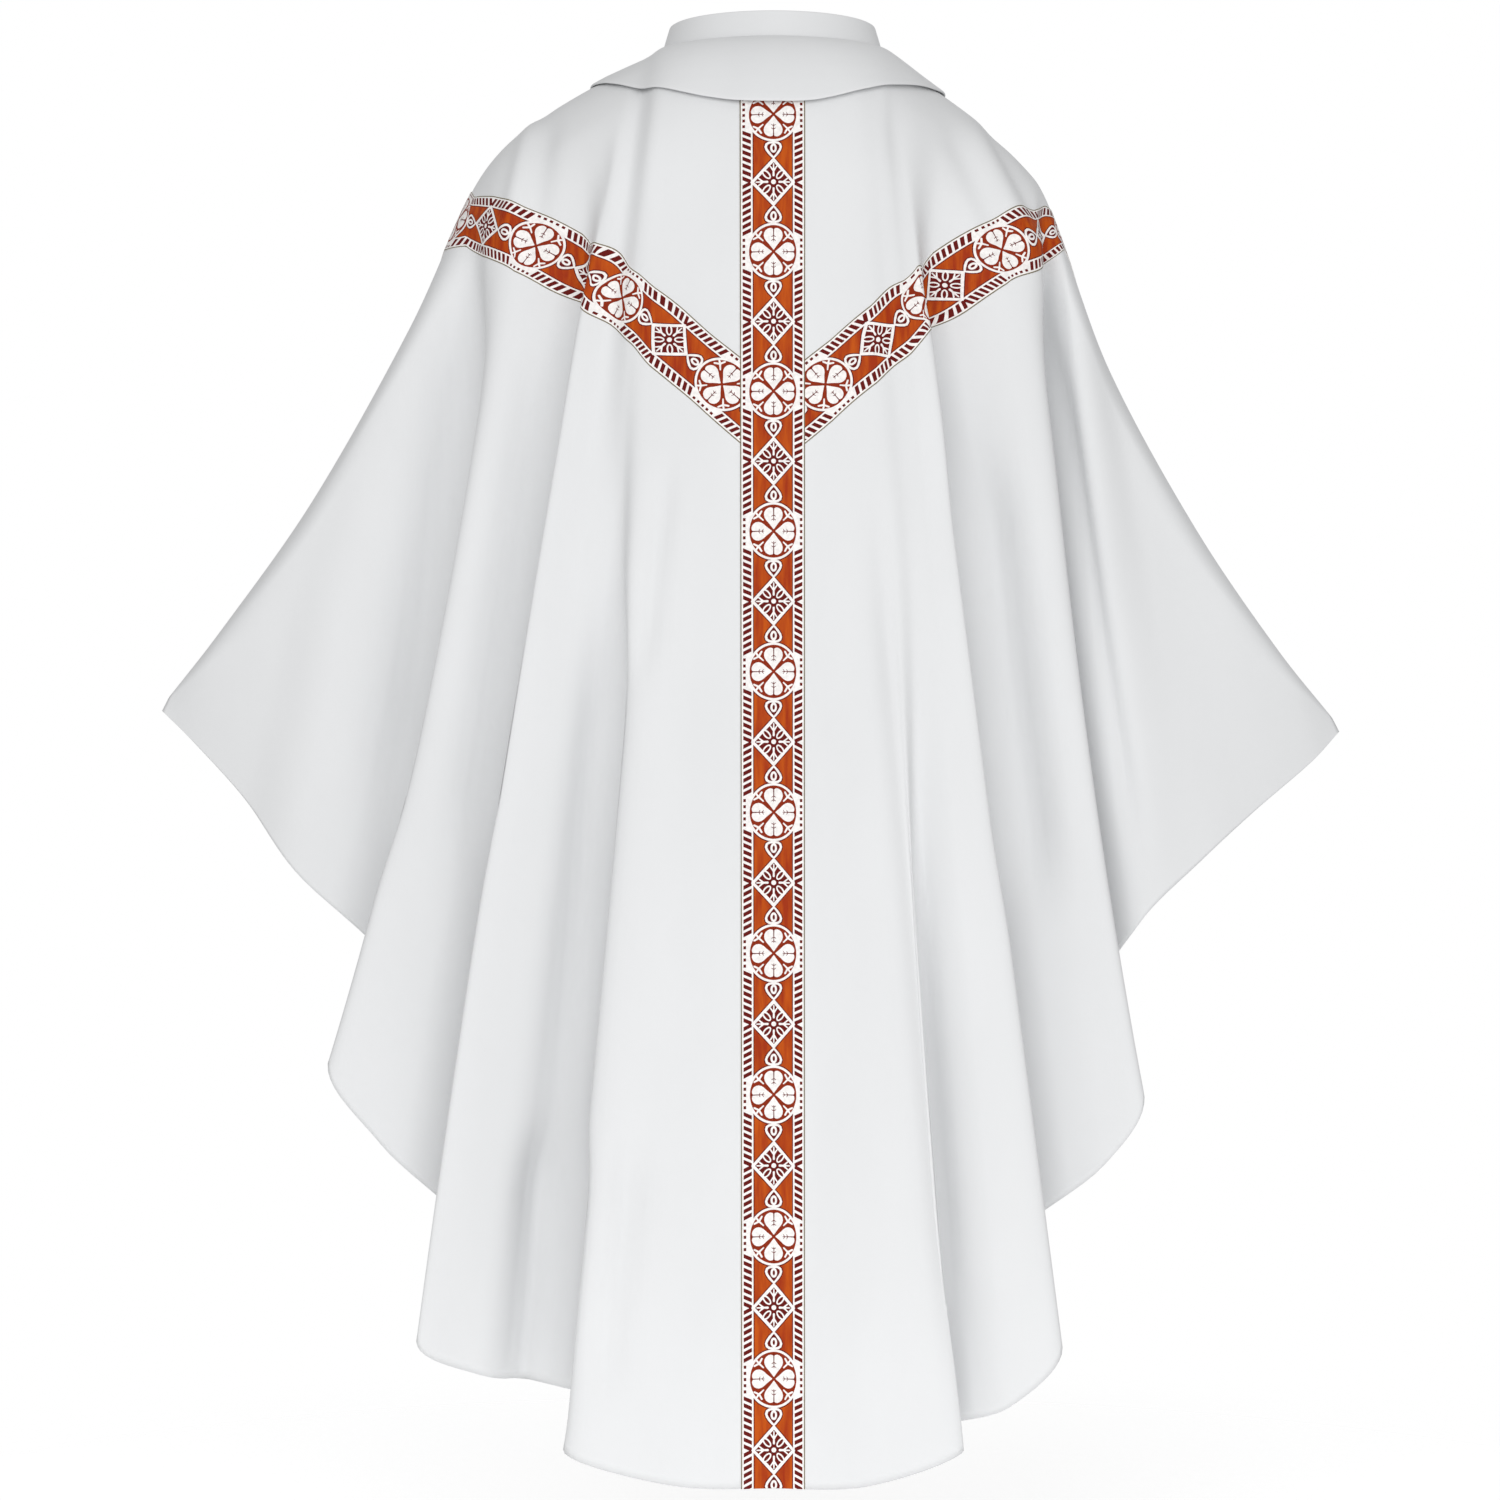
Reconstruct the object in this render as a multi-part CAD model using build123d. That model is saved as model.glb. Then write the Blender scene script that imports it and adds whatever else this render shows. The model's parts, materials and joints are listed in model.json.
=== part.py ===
from build123d import *
import os

import numpy as np

# Chasuble on a standing wearer, in millimetres. The back faces -Y, +X is to the right as the back is
# seen, and +Z is up. The origin is the centre of the neck seam.

# Overall sizes
back_length = 1331.0  # neck seam to hem, down the centre back
left_reach = 588.0  # centre to the left tip
right_reach = 546.0  # centre to the right tip
left_tip_drop = 622.0
right_tip_drop = 642.0
back_depth = 225.0  # how far the hem stands out behind the neck centre
front_depth = 215.0

# Cloth and trims
cloth = 1.6
hem_width = 18.0
tape_width = 14.0
tape_thick = 0.8
band_width = 58.0
band_thick = 1.2
clearance = 0.6  # air between layers that lie on each other
neck_gap = cloth + 3 * clearance  # from the collar out to the body cloth
seam_gap = 0.8  # from the shoulder seam to each panel's edge
arm_lift = 1.8  # of a slanting band, off the small folds under it
tape_clear_neck = 4.0  # a shoulder tape stops this far from the neck seam
tape_clear_tip = 80.0  # and this far from the tip

# Collar
neck_side = 108.0  # half the neck seam's width
neck_back = 100.0  # half its depth
stand_height = 30.0
stand_lean = 9.0
stand_cloth = 1.0
interlining = 0.8
fall_back = 92.0  # length of the fall down the back
fall_side = 78.0
fall_start = 2.2  # how far the fall stands off the body cloth at the neck seam
fall_lift = 7.0  # how far the fall's edge stands off the body cloth
column_start = fall_back / 2  # a column band starts this far down, under the fall

# Sizes that the drape lines and the band line below are written for; the sizes above scale them
LINES_LENGTH = 1331.0
LINES_NECK = 108.0
BAND_REACH = {-1: 588.0, 1: 560.0}  # left, right

# How soon a line that runs back over the body turns to fall: shares of its run and of its start's depth
TURN_OF_RUN = 1.05
TURN_OF_START = 0.65
LATEST_TURN = 0.8  # share of the whole length
NEAREST_BEHIND = 6.0  # the hidden side of a fold stays this far behind the shoulder plane
MESH_ROWS = 61  # points down a panel line
SPLINE_STEP = 3  # a panel's lines are splines through every third of them

# Middle of a slanting band, from the column up to the shoulder line: (out, drop)
BAND_PATH = [(29, 341), (95, 284), (146, 237), (204, 198), (254, 175), (300, 155)]

# The shoulder line, from the neck out over the shoulder and down the arm: (out, down)
SHOULDER_LEFT = [(108, 0), (200, 46), (273, 106), (306, 166), (340, 246), (422, 395), (530, 549), (588, 622)]
SHOULDER_RIGHT = [(108, 0), (170, 44), (232, 96), (264, 144), (283, 202), (330, 318), (472, 549), (546, 642)]


class Line:
    """One drape line: the way the cloth runs down from the neck or shoulder to the hem.
    out is where it leaves the top edge; hem is (out, depth, drop); bow bends it; over is how far the
    cloth runs back before it falls. A tuck line also names the ridge that it lies behind."""

    def __init__(self, out, hem, bow=0.0, over=60.0, tuck=None):
        self.out, self.hem, self.bow, self.over, self.tuck = out, hem, bow, over, tuck


# tuck is (steps inward to the ridge, overlap, depth behind the ridge, drop where it starts, where it is full)
LEFT_LINES = [
    Line(50, (96, 229, 1327), over=80),
    Line(92, (194, 224, 1296), over=106),
    Line(108, (232, 190, 1266), over=152, tuck=(1, 36, 62, 420, 1250)),
    Line(126, (268, 172, 1238), over=149),
    Line(144, (326, 190, 1204), over=145),
    Line(176, (352, 150, 1124), over=132, tuck=(1, 36, 66, 110, 720)),
    Line(214, (364, 136, 1030), over=114),
    Line(257, (413, 136, 955), bow=-27, over=94),
    Line(290, (430, 100, 882), over=78, tuck=(1, 36, 66, 140, 680)),
    Line(345, (452, 74, 778), over=60),
    Line(440, (502, 46, 712), over=52),
    Line(530, (556, 22, 656), over=34),
    Line(580, (588, 4, 627), over=5),
]
RIGHT_LINES = [
    Line(44, (86, 229, 1328), over=79),
    Line(74, (170, 224, 1299), over=93),
    Line(94, (192, 206, 1284), over=110, tuck=(1, 12, 34, 560, 1290)),
    Line(108, (214, 202, 1262), over=153),
    Line(122, (263, 196, 1208), over=151),
    Line(150, (300, 156, 1134), over=142, tuck=(1, 40, 74, 80, 620)),
    Line(196, (306, 146, 1048), over=120),
    Line(243, (343, 146, 985), bow=-15, over=98),
    Line(256, (350, 90, 900), over=88, tuck=(1, 14, 76, 130, 460)),
    Line(272, (344, 100, 826), bow=-4, over=80),
    Line(320, (402, 84, 770), over=60),
    Line(404, (458, 56, 722), over=52),
    Line(484, (516, 26, 676), over=34),
    Line(538, (546, 4, 647), over=5),
]
CENTRE = Line(0, (0, 225, 1331), over=76)


def smooth(value):
    value = np.clip(value, 0.0, 1.0)
    return value * value * (3.0 - 2.0 * value)


def spline(knots, values, at):
    """Cubic Hermite curve through values at the rising knots, with slopes held between neighbours."""
    knots = np.asarray(knots, float)
    values = np.asarray(values, float)
    step = np.diff(knots)
    rise = np.diff(values) / step
    slope = np.concatenate(([rise[0]], (rise[:-1] + rise[1:]) / 2, [rise[-1]]))
    index = np.clip(np.searchsorted(knots, at) - 1, 0, len(step) - 1)
    part = (at - knots[index]) / step[index]
    h00 = 2 * part**3 - 3 * part**2 + 1
    h10 = part**3 - 2 * part**2 + part
    h01 = -2 * part**3 + 3 * part**2
    h11 = part**3 - part**2
    return (
        h00 * values[index]
        + h10 * step[index] * slope[index]
        + h01 * values[index + 1]
        + h11 * step[index] * slope[index + 1]
    )


def shoulder_drop(out, points, reach, drop):
    """How far the shoulder line is below the neck seam, out from the centre."""
    ends = np.array(points, float)
    across = neck_side + (ends[:, 0] - ends[0, 0]) * (reach - neck_side) / (ends[-1, 0] - ends[0, 0])
    down = ends[:, 1] * drop / ends[-1, 1]
    return float(spline(across, down, np.array([out]))[0])


def run_down(line, reach, drop, points, reference, samples=160):
    """Points (out, depth, drop) of one drape line, from the top edge to the hem."""
    wide, long, deep = reference
    half_wide, half_deep = neck_side + neck_gap, neck_back + neck_gap
    out_top = half_wide * line.out / LINES_NECK
    if line.out > LINES_NECK:
        share = (line.out - LINES_NECK) / (points[-1][0] - LINES_NECK)
        out_top = half_wide + share * (reach - half_wide)
    hem_out, hem_depth, hem_drop = line.hem[0] * wide, line.hem[1] * deep, line.hem[2] * long
    if out_top < half_wide:
        depth_top, top = half_deep * np.sqrt(1 - (out_top / half_wide) ** 2), 0.0
    else:
        depth_top, top = 0.0, shoulder_drop(out_top, points, reach, drop)
    length = hem_drop - top
    turn = min(TURN_OF_RUN * line.over + TURN_OF_START * depth_top, LATEST_TURN * length)
    angle = np.linspace(0.0, np.pi / 2, samples // 2)
    fall = np.concatenate((turn * (1 - np.cos(angle)), np.linspace(turn, length, samples // 2)[1:]))
    part = fall / length
    over = np.sqrt(np.clip(1 - (1 - np.minimum(fall / turn, 1.0)) ** 2, 0, 1))
    depth = depth_top + line.over * over + (hem_depth - depth_top - line.over) * part
    out = out_top + (hem_out - out_top) * part + 4 * line.bow * wide * part * (1 - part)
    return np.stack((out, depth, top + fall), 1)


def tuck_in(own, ridge, tuck, long):
    """Moves a line from its own place to the hidden side of its ridge as the fold deepens."""
    _, overlap, behind, start, full = tuck
    share = smooth((own[:, 2] / long - start) / (full - start))
    ridge_out = np.interp(own[:, 2], ridge[:, 2], ridge[:, 0])
    ridge_depth = np.interp(own[:, 2], ridge[:, 2], ridge[:, 1])
    moved = own.copy()
    moved[:, 0] = own[:, 0] * (1 - share) + (ridge_out - overlap) * share
    moved[:, 1] = own[:, 1] * (1 - share) + np.maximum(ridge_depth - behind, NEAREST_BEHIND) * share
    return moved


def even(points, count):
    """The same line with its points evenly spaced along it."""
    length = np.concatenate(([0.0], np.cumsum(np.linalg.norm(np.diff(points, axis=0), axis=1))))
    at = np.linspace(0.0, length[-1], count)
    return np.stack([np.interp(at, length, points[:, axis]) for axis in range(3)], 1)


def side_lines(lines, reach, drop, points, deep, rows):
    """All lines of one side, from beside the centre to the tip, as rows points each."""
    reference = (reach / points[-1][0], back_length / LINES_LENGTH, deep)
    runs = [run_down(line, reach, drop, points, reference) for line in lines]
    for index, line in enumerate(lines):
        if line.tuck:
            ridge = runs[index - line.tuck[0]]
            runs[index] = tuck_in(runs[index], ridge, line.tuck, back_length / LINES_LENGTH)
    return [even(run, rows) for run in runs]


def panel_grid(deep, rows=MESH_ROWS, between=6):
    """Points of the outer face of a back panel [across][down], from the left tip to the right tip."""
    left = side_lines(LEFT_LINES, left_reach, left_tip_drop, SHOULDER_LEFT, deep, rows)
    right = side_lines(RIGHT_LINES, right_reach, right_tip_drop, SHOULDER_RIGHT, deep, rows)
    middle = run_down(CENTRE, left_reach, left_tip_drop, SHOULDER_LEFT, (1, back_length / LINES_LENGTH, deep))
    key = [run * (-1, -1, -1) for run in reversed(left)] + [even(middle, rows) * (1, -1, -1)]
    key = np.array(key + [run * (1, -1, -1) for run in right])
    chord = np.linalg.norm(np.diff(key, axis=0), axis=2) ** 0.6 + 1e-6
    knots = np.concatenate((np.zeros((1, rows)), np.cumsum(chord, axis=0)))
    columns = []
    for index in range(len(key) - 1):
        for step in range(between):
            columns.append(across(key, knots, index, step / between))
    columns.append(key[-1])
    grid = np.array(columns)
    grid[:, :, 1] = np.minimum(grid[:, :, 1], -seam_gap)
    return grid


def across(key, knots, index, part):
    """One column between two key lines, by a cubic through their neighbours."""
    last = len(key) - 1
    before, after = max(index - 1, 0), min(index + 2, last)
    width = (knots[index + 1] - knots[index])[:, None]
    slope_a = (key[index + 1] - key[before]) / (knots[index + 1] - knots[before])[:, None]
    slope_b = (key[after] - key[index]) / (knots[after] - knots[index])[:, None]
    h00 = 2 * part**3 - 3 * part**2 + 1
    h10 = part**3 - 2 * part**2 + part
    h01 = -2 * part**3 + 3 * part**2
    h11 = part**3 - part**2
    return h00 * key[index] + h10 * width * slope_a + h01 * key[index + 1] + h11 * width * slope_b


def normals(grid, middle):
    """Unit normals of a grid, pointing away from a point inside the garment."""
    cross = np.cross(np.gradient(grid, axis=0), np.gradient(grid, axis=1))
    cross = cross / np.maximum(np.linalg.norm(cross, axis=2, keepdims=True), 1e-9)
    sign = np.sign(np.sum(cross * (grid - middle), axis=2).sum())
    return cross * sign


def line_through(points):
    """A smooth line through points, shared out evenly along its length."""
    share = np.linspace(0, 1, len(points)).tolist()
    return Edge.make_spline([Vector(*point) for point in points.tolist()], parameters=share)


def rim_faces(outer, inner):
    """The narrow faces that close a sheet between two rows of points."""
    faces = []
    for start in range(len(outer) - 1):
        first, second = [Edge.make_line(Vector(*row[start]), Vector(*row[start + 1])) for row in (outer, inner)]
        faces.append(Face.make_surface_from_curves(first, second))
    return faces


def sheet(grid, inward, thick, middle=(0, 0, -400)):
    """A closed solid whose outer face is the grid moved in by inward, and thick from there inwards."""
    lean = normals(grid, np.array(middle, float))
    outer = grid - lean * inward
    inner = outer - lean * thick
    outer_lines = [line_through(line) for line in outer]
    inner_lines = [line_through(line) for line in inner]
    faces = rim_faces(outer[:, 0], inner[:, 0]) + rim_faces(outer[:, -1], inner[:, -1])
    for lines in (outer_lines, inner_lines):
        for first, second in zip(lines, lines[1:]):
            faces.append(Face.make_surface_from_curves(first, second))
    for end in (0, -1):
        faces.append(Face.make_surface_from_curves(outer_lines[end], inner_lines[end]))
    return Solid(Shell(faces))


def part_line(points, start, end, count):
    """The stretch of a line between two distances from its top, as evenly spaced points."""
    length = np.concatenate(([0.0], np.cumsum(np.linalg.norm(np.diff(points, axis=0), axis=1))))
    at = np.linspace(max(start, 0.0), min(end, length[-1]), count)
    return np.stack([np.interp(at, length, points[:, axis]) for axis in range(3)], 1)


def line_length(points):
    return np.linalg.norm(np.diff(points, axis=0), axis=1).sum()


def hem_grid(panel):
    """The strip of a panel just above its hem."""
    lengths = [line_length(column) for column in panel]
    return np.array(
        [part_line(col, size - hem_width, size, 4) for col, size in zip(panel, lengths)]
    )


def column_grid(panel):
    """The strip of a panel along its centre line, one band wide."""
    centre = int(np.argmin(np.abs(panel[:, -1, 0])))
    strips = []
    for row in range(panel.shape[1]):
        line = panel[:, row]
        step = np.concatenate(([0.0], np.cumsum(np.linalg.norm(np.diff(line, axis=0), axis=1))))
        at = step[centre] + np.linspace(-band_width / 2, band_width / 2, 7)
        strips.append(np.stack([np.interp(at, step, line[:, axis]) for axis in range(3)], 1))
    grid = np.array(strips).transpose(1, 0, 2)
    return np.array([part_line(line, column_start, line_length(line), panel.shape[1]) for line in grid])


def arm_grid(panel, side, reach, stations=26):
    """The slanting strip of a panel from the column's edge up to the shoulder line."""
    path = np.array(BAND_PATH, float)
    wider = (reach - band_width / 2) / (BAND_REACH[side] - path[0, 0])
    path[:, 0] = band_width / 2 + (path[:, 0] - path[0, 0]) * wider
    slope = np.gradient(path[:, 1], path[:, 0])
    columns = panel[panel[:, 0, 0] * side >= 0]
    columns = columns if side > 0 else columns[::-1]
    strips = []
    for share in np.linspace(-1, 1, 7):
        drop = path[:, 1] + share * band_width / 2 * np.sqrt(1 + slope**2)
        points = []
        for column in columns:
            over = column[:, 2] + spline(path[:, 0], drop, np.clip(column[:, 0] * side, path[0, 0], path[-1, 0]))
            below = np.nonzero(over <= 0)[0]
            if len(below) == 0 or below[0] == 0:
                continue
            low = below[0]
            part = over[low - 1] / (over[low - 1] - over[low])
            points.append(column[low - 1] * (1 - part) + column[low] * part)
        points.append(shoulder_point(panel, side, points[-1]))
        points = np.array(points)
        points = points[points[:, 0] * side > band_width / 2 - 8]
        start = np.interp(band_width / 2 + band_thick, points[:3, 0] * side, np.arange(3))
        first = points[0] * (1 - start) + points[1] * start if start < 1 else points[1]
        strips.append(even(np.vstack((first, points[1:])), stations))
    return np.array(strips)


def shoulder_point(panel, side, last):
    """Where a band line whose last point is given meets the shoulder line."""
    top = panel[:, 0]
    top = top[top[:, 0] * side >= neck_side]
    order = np.argsort(-top[:, 2])
    return np.array([np.interp(-last[2] - 0.5, -top[order, 2], top[order, axis]) for axis in range(3)])


def ring_out(panels, drop, turns):
    """Distance of the body cloth from the Z axis at one height, in each direction of turns."""
    found = []
    for panel in panels:
        for column in panel:
            low = np.searchsorted(-column[:, 2], drop)
            if 0 < low < len(column):
                part = (drop + column[low - 1, 2]) / (column[low - 1, 2] - column[low, 2])
                point = column[low - 1] * (1 - part) + column[low] * part
                found.append((np.arctan2(point[1], point[0]), np.hypot(point[0], point[1])))
    found = np.array(sorted(found))
    return np.interp(turns, found[:, 0], found[:, 1], period=2 * np.pi)


def fall_grid(panels, lift_start, lift_edge, turns=48, rows=8):
    """The turned-down collar as lines running from the neck seam outwards over the body cloth."""
    angles = np.linspace(-np.pi, np.pi, turns + 1)
    drops = np.array([1.0, 4.0, 9.0, 16.0, 25.0, 36.0, 50.0, 66.0, 84.0, 104.0, 126.0])
    outs = np.array([ring_out(panels, drop, angles) for drop in drops])
    seam = neck_side * neck_back / np.hypot(neck_back * np.cos(angles), neck_side * np.sin(angles))
    outs = np.vstack((seam, np.maximum(outs, seam + 1.0)))
    drops = np.concatenate(([0.0], drops))
    lines = []
    for index, angle in enumerate(angles):
        radial = outs[:, index]
        points = np.stack((radial * np.cos(angle), radial * np.sin(angle), -drops), 1)
        length = fall_side + (fall_back - fall_side) * np.sin(angle) ** 2
        line = part_line(points, 0.0, length, rows)
        lift = lift_start + (lift_edge - lift_start) * np.linspace(0, 1, rows) ** 2
        slope = np.gradient(line, axis=0)
        flat = np.hypot(slope[:, 0], slope[:, 1])
        size = np.maximum(np.hypot(flat, slope[:, 2]), 1e-9)
        line[:, 0] -= lift * slope[:, 2] / size * np.cos(angle)
        line[:, 1] -= lift * slope[:, 2] / size * np.sin(angle)
        line[:, 2] += lift * flat / size
        lines.append(line)
    lines[-1] = lines[0]
    return np.array(lines)


def closed_section(outer, inner):
    """The thin closed outline between two lines of the same number of points."""
    share = np.linspace(0, 1, len(outer)).tolist()
    first = Edge.make_spline([Vector(*point) for point in outer.tolist()], parameters=share)
    second = Edge.make_spline([Vector(*point) for point in inner[::-1].tolist()], parameters=share)
    return Wire([first, Edge.make_line(first @ 1, second @ 0), second, Edge.make_line(second @ 1, first @ 0)])


def round_sheet(grid, thick):
    """A closed ring of cloth whose lines all start at the neck, thick upwards from the grid."""
    along = np.gradient(grid, axis=0)
    along[0] = along[-1] = (grid[1] - grid[-2]) / 2
    lean = np.cross(np.gradient(grid, axis=1), along)
    lean = lean / np.maximum(np.linalg.norm(lean, axis=2, keepdims=True), 1e-9)
    lean = lean * np.sign(lean[:, :, 2].sum())
    wires = [closed_section(*pair) for pair in zip(grid + lean * thick, grid)]
    return Solid(Shell(Solid.make_loft([*wires[:-1], wires[0]]).faces()))


def oval(inset, height):
    """The neck oval, inset and drawn in as it rises."""
    lean = stand_lean * height / stand_height
    return Pos(0, 0, height) * Ellipse(neck_side - inset - lean, neck_back - inset - lean)


def neck_ring(inset, thick, low, high):
    """An upright strip around the neck, from low to high, thick inwards."""
    outer = loft([oval(inset, low), oval(inset, high)])
    inner = loft([oval(inset + thick, low), oval(inset + thick, high)])
    return outer - inner


def seam_tape_grid(back, front, side):
    """The tape that covers one shoulder seam inside, as lines from the back over the seam to the front."""
    lines = []
    for behind, ahead in zip(back, front):
        out = behind[0, 0] * side
        reach = left_reach if side < 0 else right_reach
        if neck_side + tape_clear_neck < out < reach - tape_clear_tip:
            half = tape_width / 2
            first = part_line(behind, 0.0, half, 5)
            second = part_line(ahead, 0.0, half, 5)
            lines.append(np.vstack((first[::-1], second[1:])))
    return np.array(lines)


def save(shape, name):
    export_step(shape, f"parts/{name}.step")


def main():
    os.makedirs("parts", exist_ok=True)
    back = panel_grid(1.0)
    front = panel_grid(front_depth / back_depth) * (1, -1, 1)
    panels = {"back": back, "front": front}
    under = cloth + clearance

    for name, panel in panels.items():
        save(sheet(panel[:, ::SPLINE_STEP], 0.0, cloth), f"{name}_panel")
        save(sheet(hem_grid(panel), under, tape_thick), f"{name}_hem_facing")
        column = column_grid(panel)[:, ::SPLINE_STEP]
        save(sheet(column, -2 * clearance - band_thick, band_thick), f"{name}_column_orphrey")
        for side, word, reach in ((-1, "left", left_reach), (1, "right", right_reach)):
            arm = arm_grid(panel, side, reach)
            save(sheet(arm, -arm_lift - band_thick, band_thick), f"{name}_{word}_arm_orphrey")

    for side, word in ((-1, "left"), (1, "right")):
        tape = seam_tape_grid(back[::2], front[::2], side)
        save(sheet(tape, under, tape_thick), f"{word}_shoulder_seam_tape")

    save(neck_ring(0.0, stand_cloth, 0.0, stand_height), "collar_stand")
    save(neck_ring(stand_cloth, interlining, 0.0, stand_height - 1.0), "collar_stand_interlining")
    facing_inset = stand_cloth + interlining
    save(neck_ring(facing_inset, stand_cloth, 0.0, stand_height), "collar_stand_facing")
    save(neck_ring(facing_inset, tape_thick, -tape_width, 0.0), "neck_seam_tape")

    both = [back, front]
    facing = fall_grid(both, fall_start, fall_lift)
    fall = fall_grid(both, fall_start + stand_cloth, fall_lift + stand_cloth)
    save(round_sheet(facing, stand_cloth), "collar_fall_facing")
    save(round_sheet(fall, stand_cloth), "collar_fall")


if __name__ == "__main__":
    main()
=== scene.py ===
import json

import bmesh
import bpy
import numpy as np
from bpy.props import FloatProperty, FloatVectorProperty, IntProperty, PointerProperty
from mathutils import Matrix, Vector
from mathutils.geometry import delaunay_2d_cdt

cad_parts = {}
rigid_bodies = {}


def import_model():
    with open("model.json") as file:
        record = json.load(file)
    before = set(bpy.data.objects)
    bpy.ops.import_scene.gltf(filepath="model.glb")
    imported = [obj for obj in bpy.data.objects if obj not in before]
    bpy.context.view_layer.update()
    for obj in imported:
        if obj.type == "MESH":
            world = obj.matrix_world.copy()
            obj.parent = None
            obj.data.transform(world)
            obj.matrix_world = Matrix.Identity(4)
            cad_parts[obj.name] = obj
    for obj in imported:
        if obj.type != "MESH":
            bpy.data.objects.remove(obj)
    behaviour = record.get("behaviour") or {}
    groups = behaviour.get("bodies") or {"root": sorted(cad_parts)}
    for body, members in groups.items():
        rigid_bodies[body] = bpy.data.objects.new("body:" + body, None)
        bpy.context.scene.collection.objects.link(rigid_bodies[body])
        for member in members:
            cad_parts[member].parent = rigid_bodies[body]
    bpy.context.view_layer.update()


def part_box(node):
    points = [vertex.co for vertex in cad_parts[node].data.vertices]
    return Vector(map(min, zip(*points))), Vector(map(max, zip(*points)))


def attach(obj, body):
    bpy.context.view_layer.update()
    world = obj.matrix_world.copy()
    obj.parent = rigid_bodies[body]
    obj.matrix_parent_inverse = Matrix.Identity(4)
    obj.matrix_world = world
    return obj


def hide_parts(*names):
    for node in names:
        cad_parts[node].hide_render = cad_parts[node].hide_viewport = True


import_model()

bl_info = {
    "name": "Chasuble",
    "version": (1, 0, 0),
    "blender": (4, 5, 0),
    "location": "View3D > Sidebar > Chasuble",
    "description": "Sews a full chasuble with its collar and woven bands, as it hangs on a wearer",
    "category": "Add Mesh",
}

MM = 0.001
BODY = "root"
BACK_LOW, BACK_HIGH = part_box("back_panel")
FRONT_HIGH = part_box("front_panel")[1]
STAND_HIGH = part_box("collar_stand")[1]

# Drape lines, in millimetres. Each is how the cloth runs from the neck or shoulder down to the hem:
# where it leaves the top edge, its hem point (out, depth, drop), how far it runs back before it
# falls, its bow, and for the hidden side of a fold (lines to the ridge, overlap, depth behind,
# drop where it starts, drop where it is full, how early it deepens).
LEFT_LINES = [
    (48, (96, 229, 1327), 80, 0, None),
    (85, (194, 224, 1296), 101, 0, None),
    (100, (232, 190, 1266), 126, 0, (1, 38, 78, 260, 1050, 1.0)),
    (113, (268, 172, 1238), 151, 0, None),
    (126, (326, 190, 1204), 149, 10, None),
    (164, (352, 150, 1124), 136, 0, (1, 36, 66, 90, 720, 0.5)),
    (214, (364, 136, 1030), 114, 0, None),
    (257, (413, 136, 955), 94, -27, None),
    (290, (430, 100, 882), 78, 0, (1, 36, 66, 132, 680, 0.5)),
    (345, (452, 74, 778), 60, 0, None),
    (440, (502, 46, 712), 52, 0, None),
    (530, (556, 22, 656), 34, 0, None),
    (580, (588, 4, 627), 5, 0, None),
]
RIGHT_LINES = [
    (40, (86, 229, 1328), 78, 0, None),
    (66, (170, 224, 1299), 89, 0, None),
    (82, (192, 206, 1284), 100, 0, (1, 14, 44, 420, 1200, 1.0)),
    (95, (214, 202, 1262), 114, 0, None),
    (106, (263, 196, 1208), 138, 0, None),
    (143, (300, 156, 1134), 144, 0, (1, 40, 74, 80, 620, 0.6)),
    (196, (306, 146, 1048), 120, 0, None),
    (243, (343, 146, 985), 98, -15, None),
    (256, (350, 90, 900), 88, 0, (1, 20, 76, 136, 460, 0.5)),
    (272, (344, 100, 826), 80, -4, None),
    (320, (402, 84, 770), 60, 0, None),
    (404, (458, 56, 722), 52, 0, None),
    (484, (516, 26, 676), 34, 0, None),
    (538, (546, 4, 647), 5, 0, None),
]
CENTRE_LINE = (0, (0, 225, 1331), 76, 0, None)
SHOULDER_LEFT = [(108, 0), (200, 46), (273, 106), (306, 166), (340, 246), (422, 395), (530, 549), (588, 622)]
SHOULDER_RIGHT = [(108, 0), (170, 44), (232, 96), (264, 144), (283, 202), (330, 318), (472, 549), (546, 642)]
NECK_SIDE, NECK_BACK = 111.4, 103.4
REFERENCE_LENGTH = 1331.0
NEAREST_BEHIND = 6.0  # the hidden side of a fold stays this far behind the shoulder plane
SEAM_GAP = 0.8
# How soon a line turns to fall: shares of its run back and of its start's depth, and of its length
TURN_OF_RUN, TURN_OF_START, LATEST_TURN = 1.05, 0.65, 0.8
TURN_EVENNESS = 0.6  # how the drape lines' distances set the curve between them
CREASE_REACH = 0.5  # how far a crease fades out past each end, as a share of its length

# Trims, in millimetres
UNDER_GAP = 0.25  # between the cloth and a facing or tape inside it
FACING_THICK = 0.5
HEM_INSET = 0.6  # of the facing from the cloth's edge
TAPE_CLEAR_NECK, TAPE_CLEAR_TIP = 4, 80
STATION = 2.0  # between places along a woven band
HALF_STEPS = 24  # places from a band's middle to its edge
EASE, EASE_WIDTHS = 14, 2.2  # stations over which a band's edge is eased straight, and its bell widths
LEAST_SQUARE = 0.05  # where the cloth's grid is skewed, it counts as no narrower than this
WALK_ACROSS, WALK_DOWN = 0.5, 0.25  # steps over the grid in finding a band's middle
PATTERN_STEP = 2.9  # longest edge of a pattern triangle

# Collar, in millimetres
FALL_DROPS = [1.0, 4.0, 9.0, 16.0, 25.0, 36.0, 50.0, 66.0, 84.0, 104.0, 126.0]
FALL_START = 2.4  # the fall's underside above the body cloth at the neck seam
FALL_OFF_STAND = 0.4
FALL_SHORTER_RIGHT = 4
WAVES = ((0.22, 7, 0.6), (0.14, 12, 2.0))  # share of the edge's lift, waves round the neck, phase
FLATTEST_LIFT = 0.3  # share of the edge's lift that is left at the shoulders
ROLL_RISE, ROLL_OUT = 1.2, 2.6  # half height and reach of the rolled edge
PLY = 0.9

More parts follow.
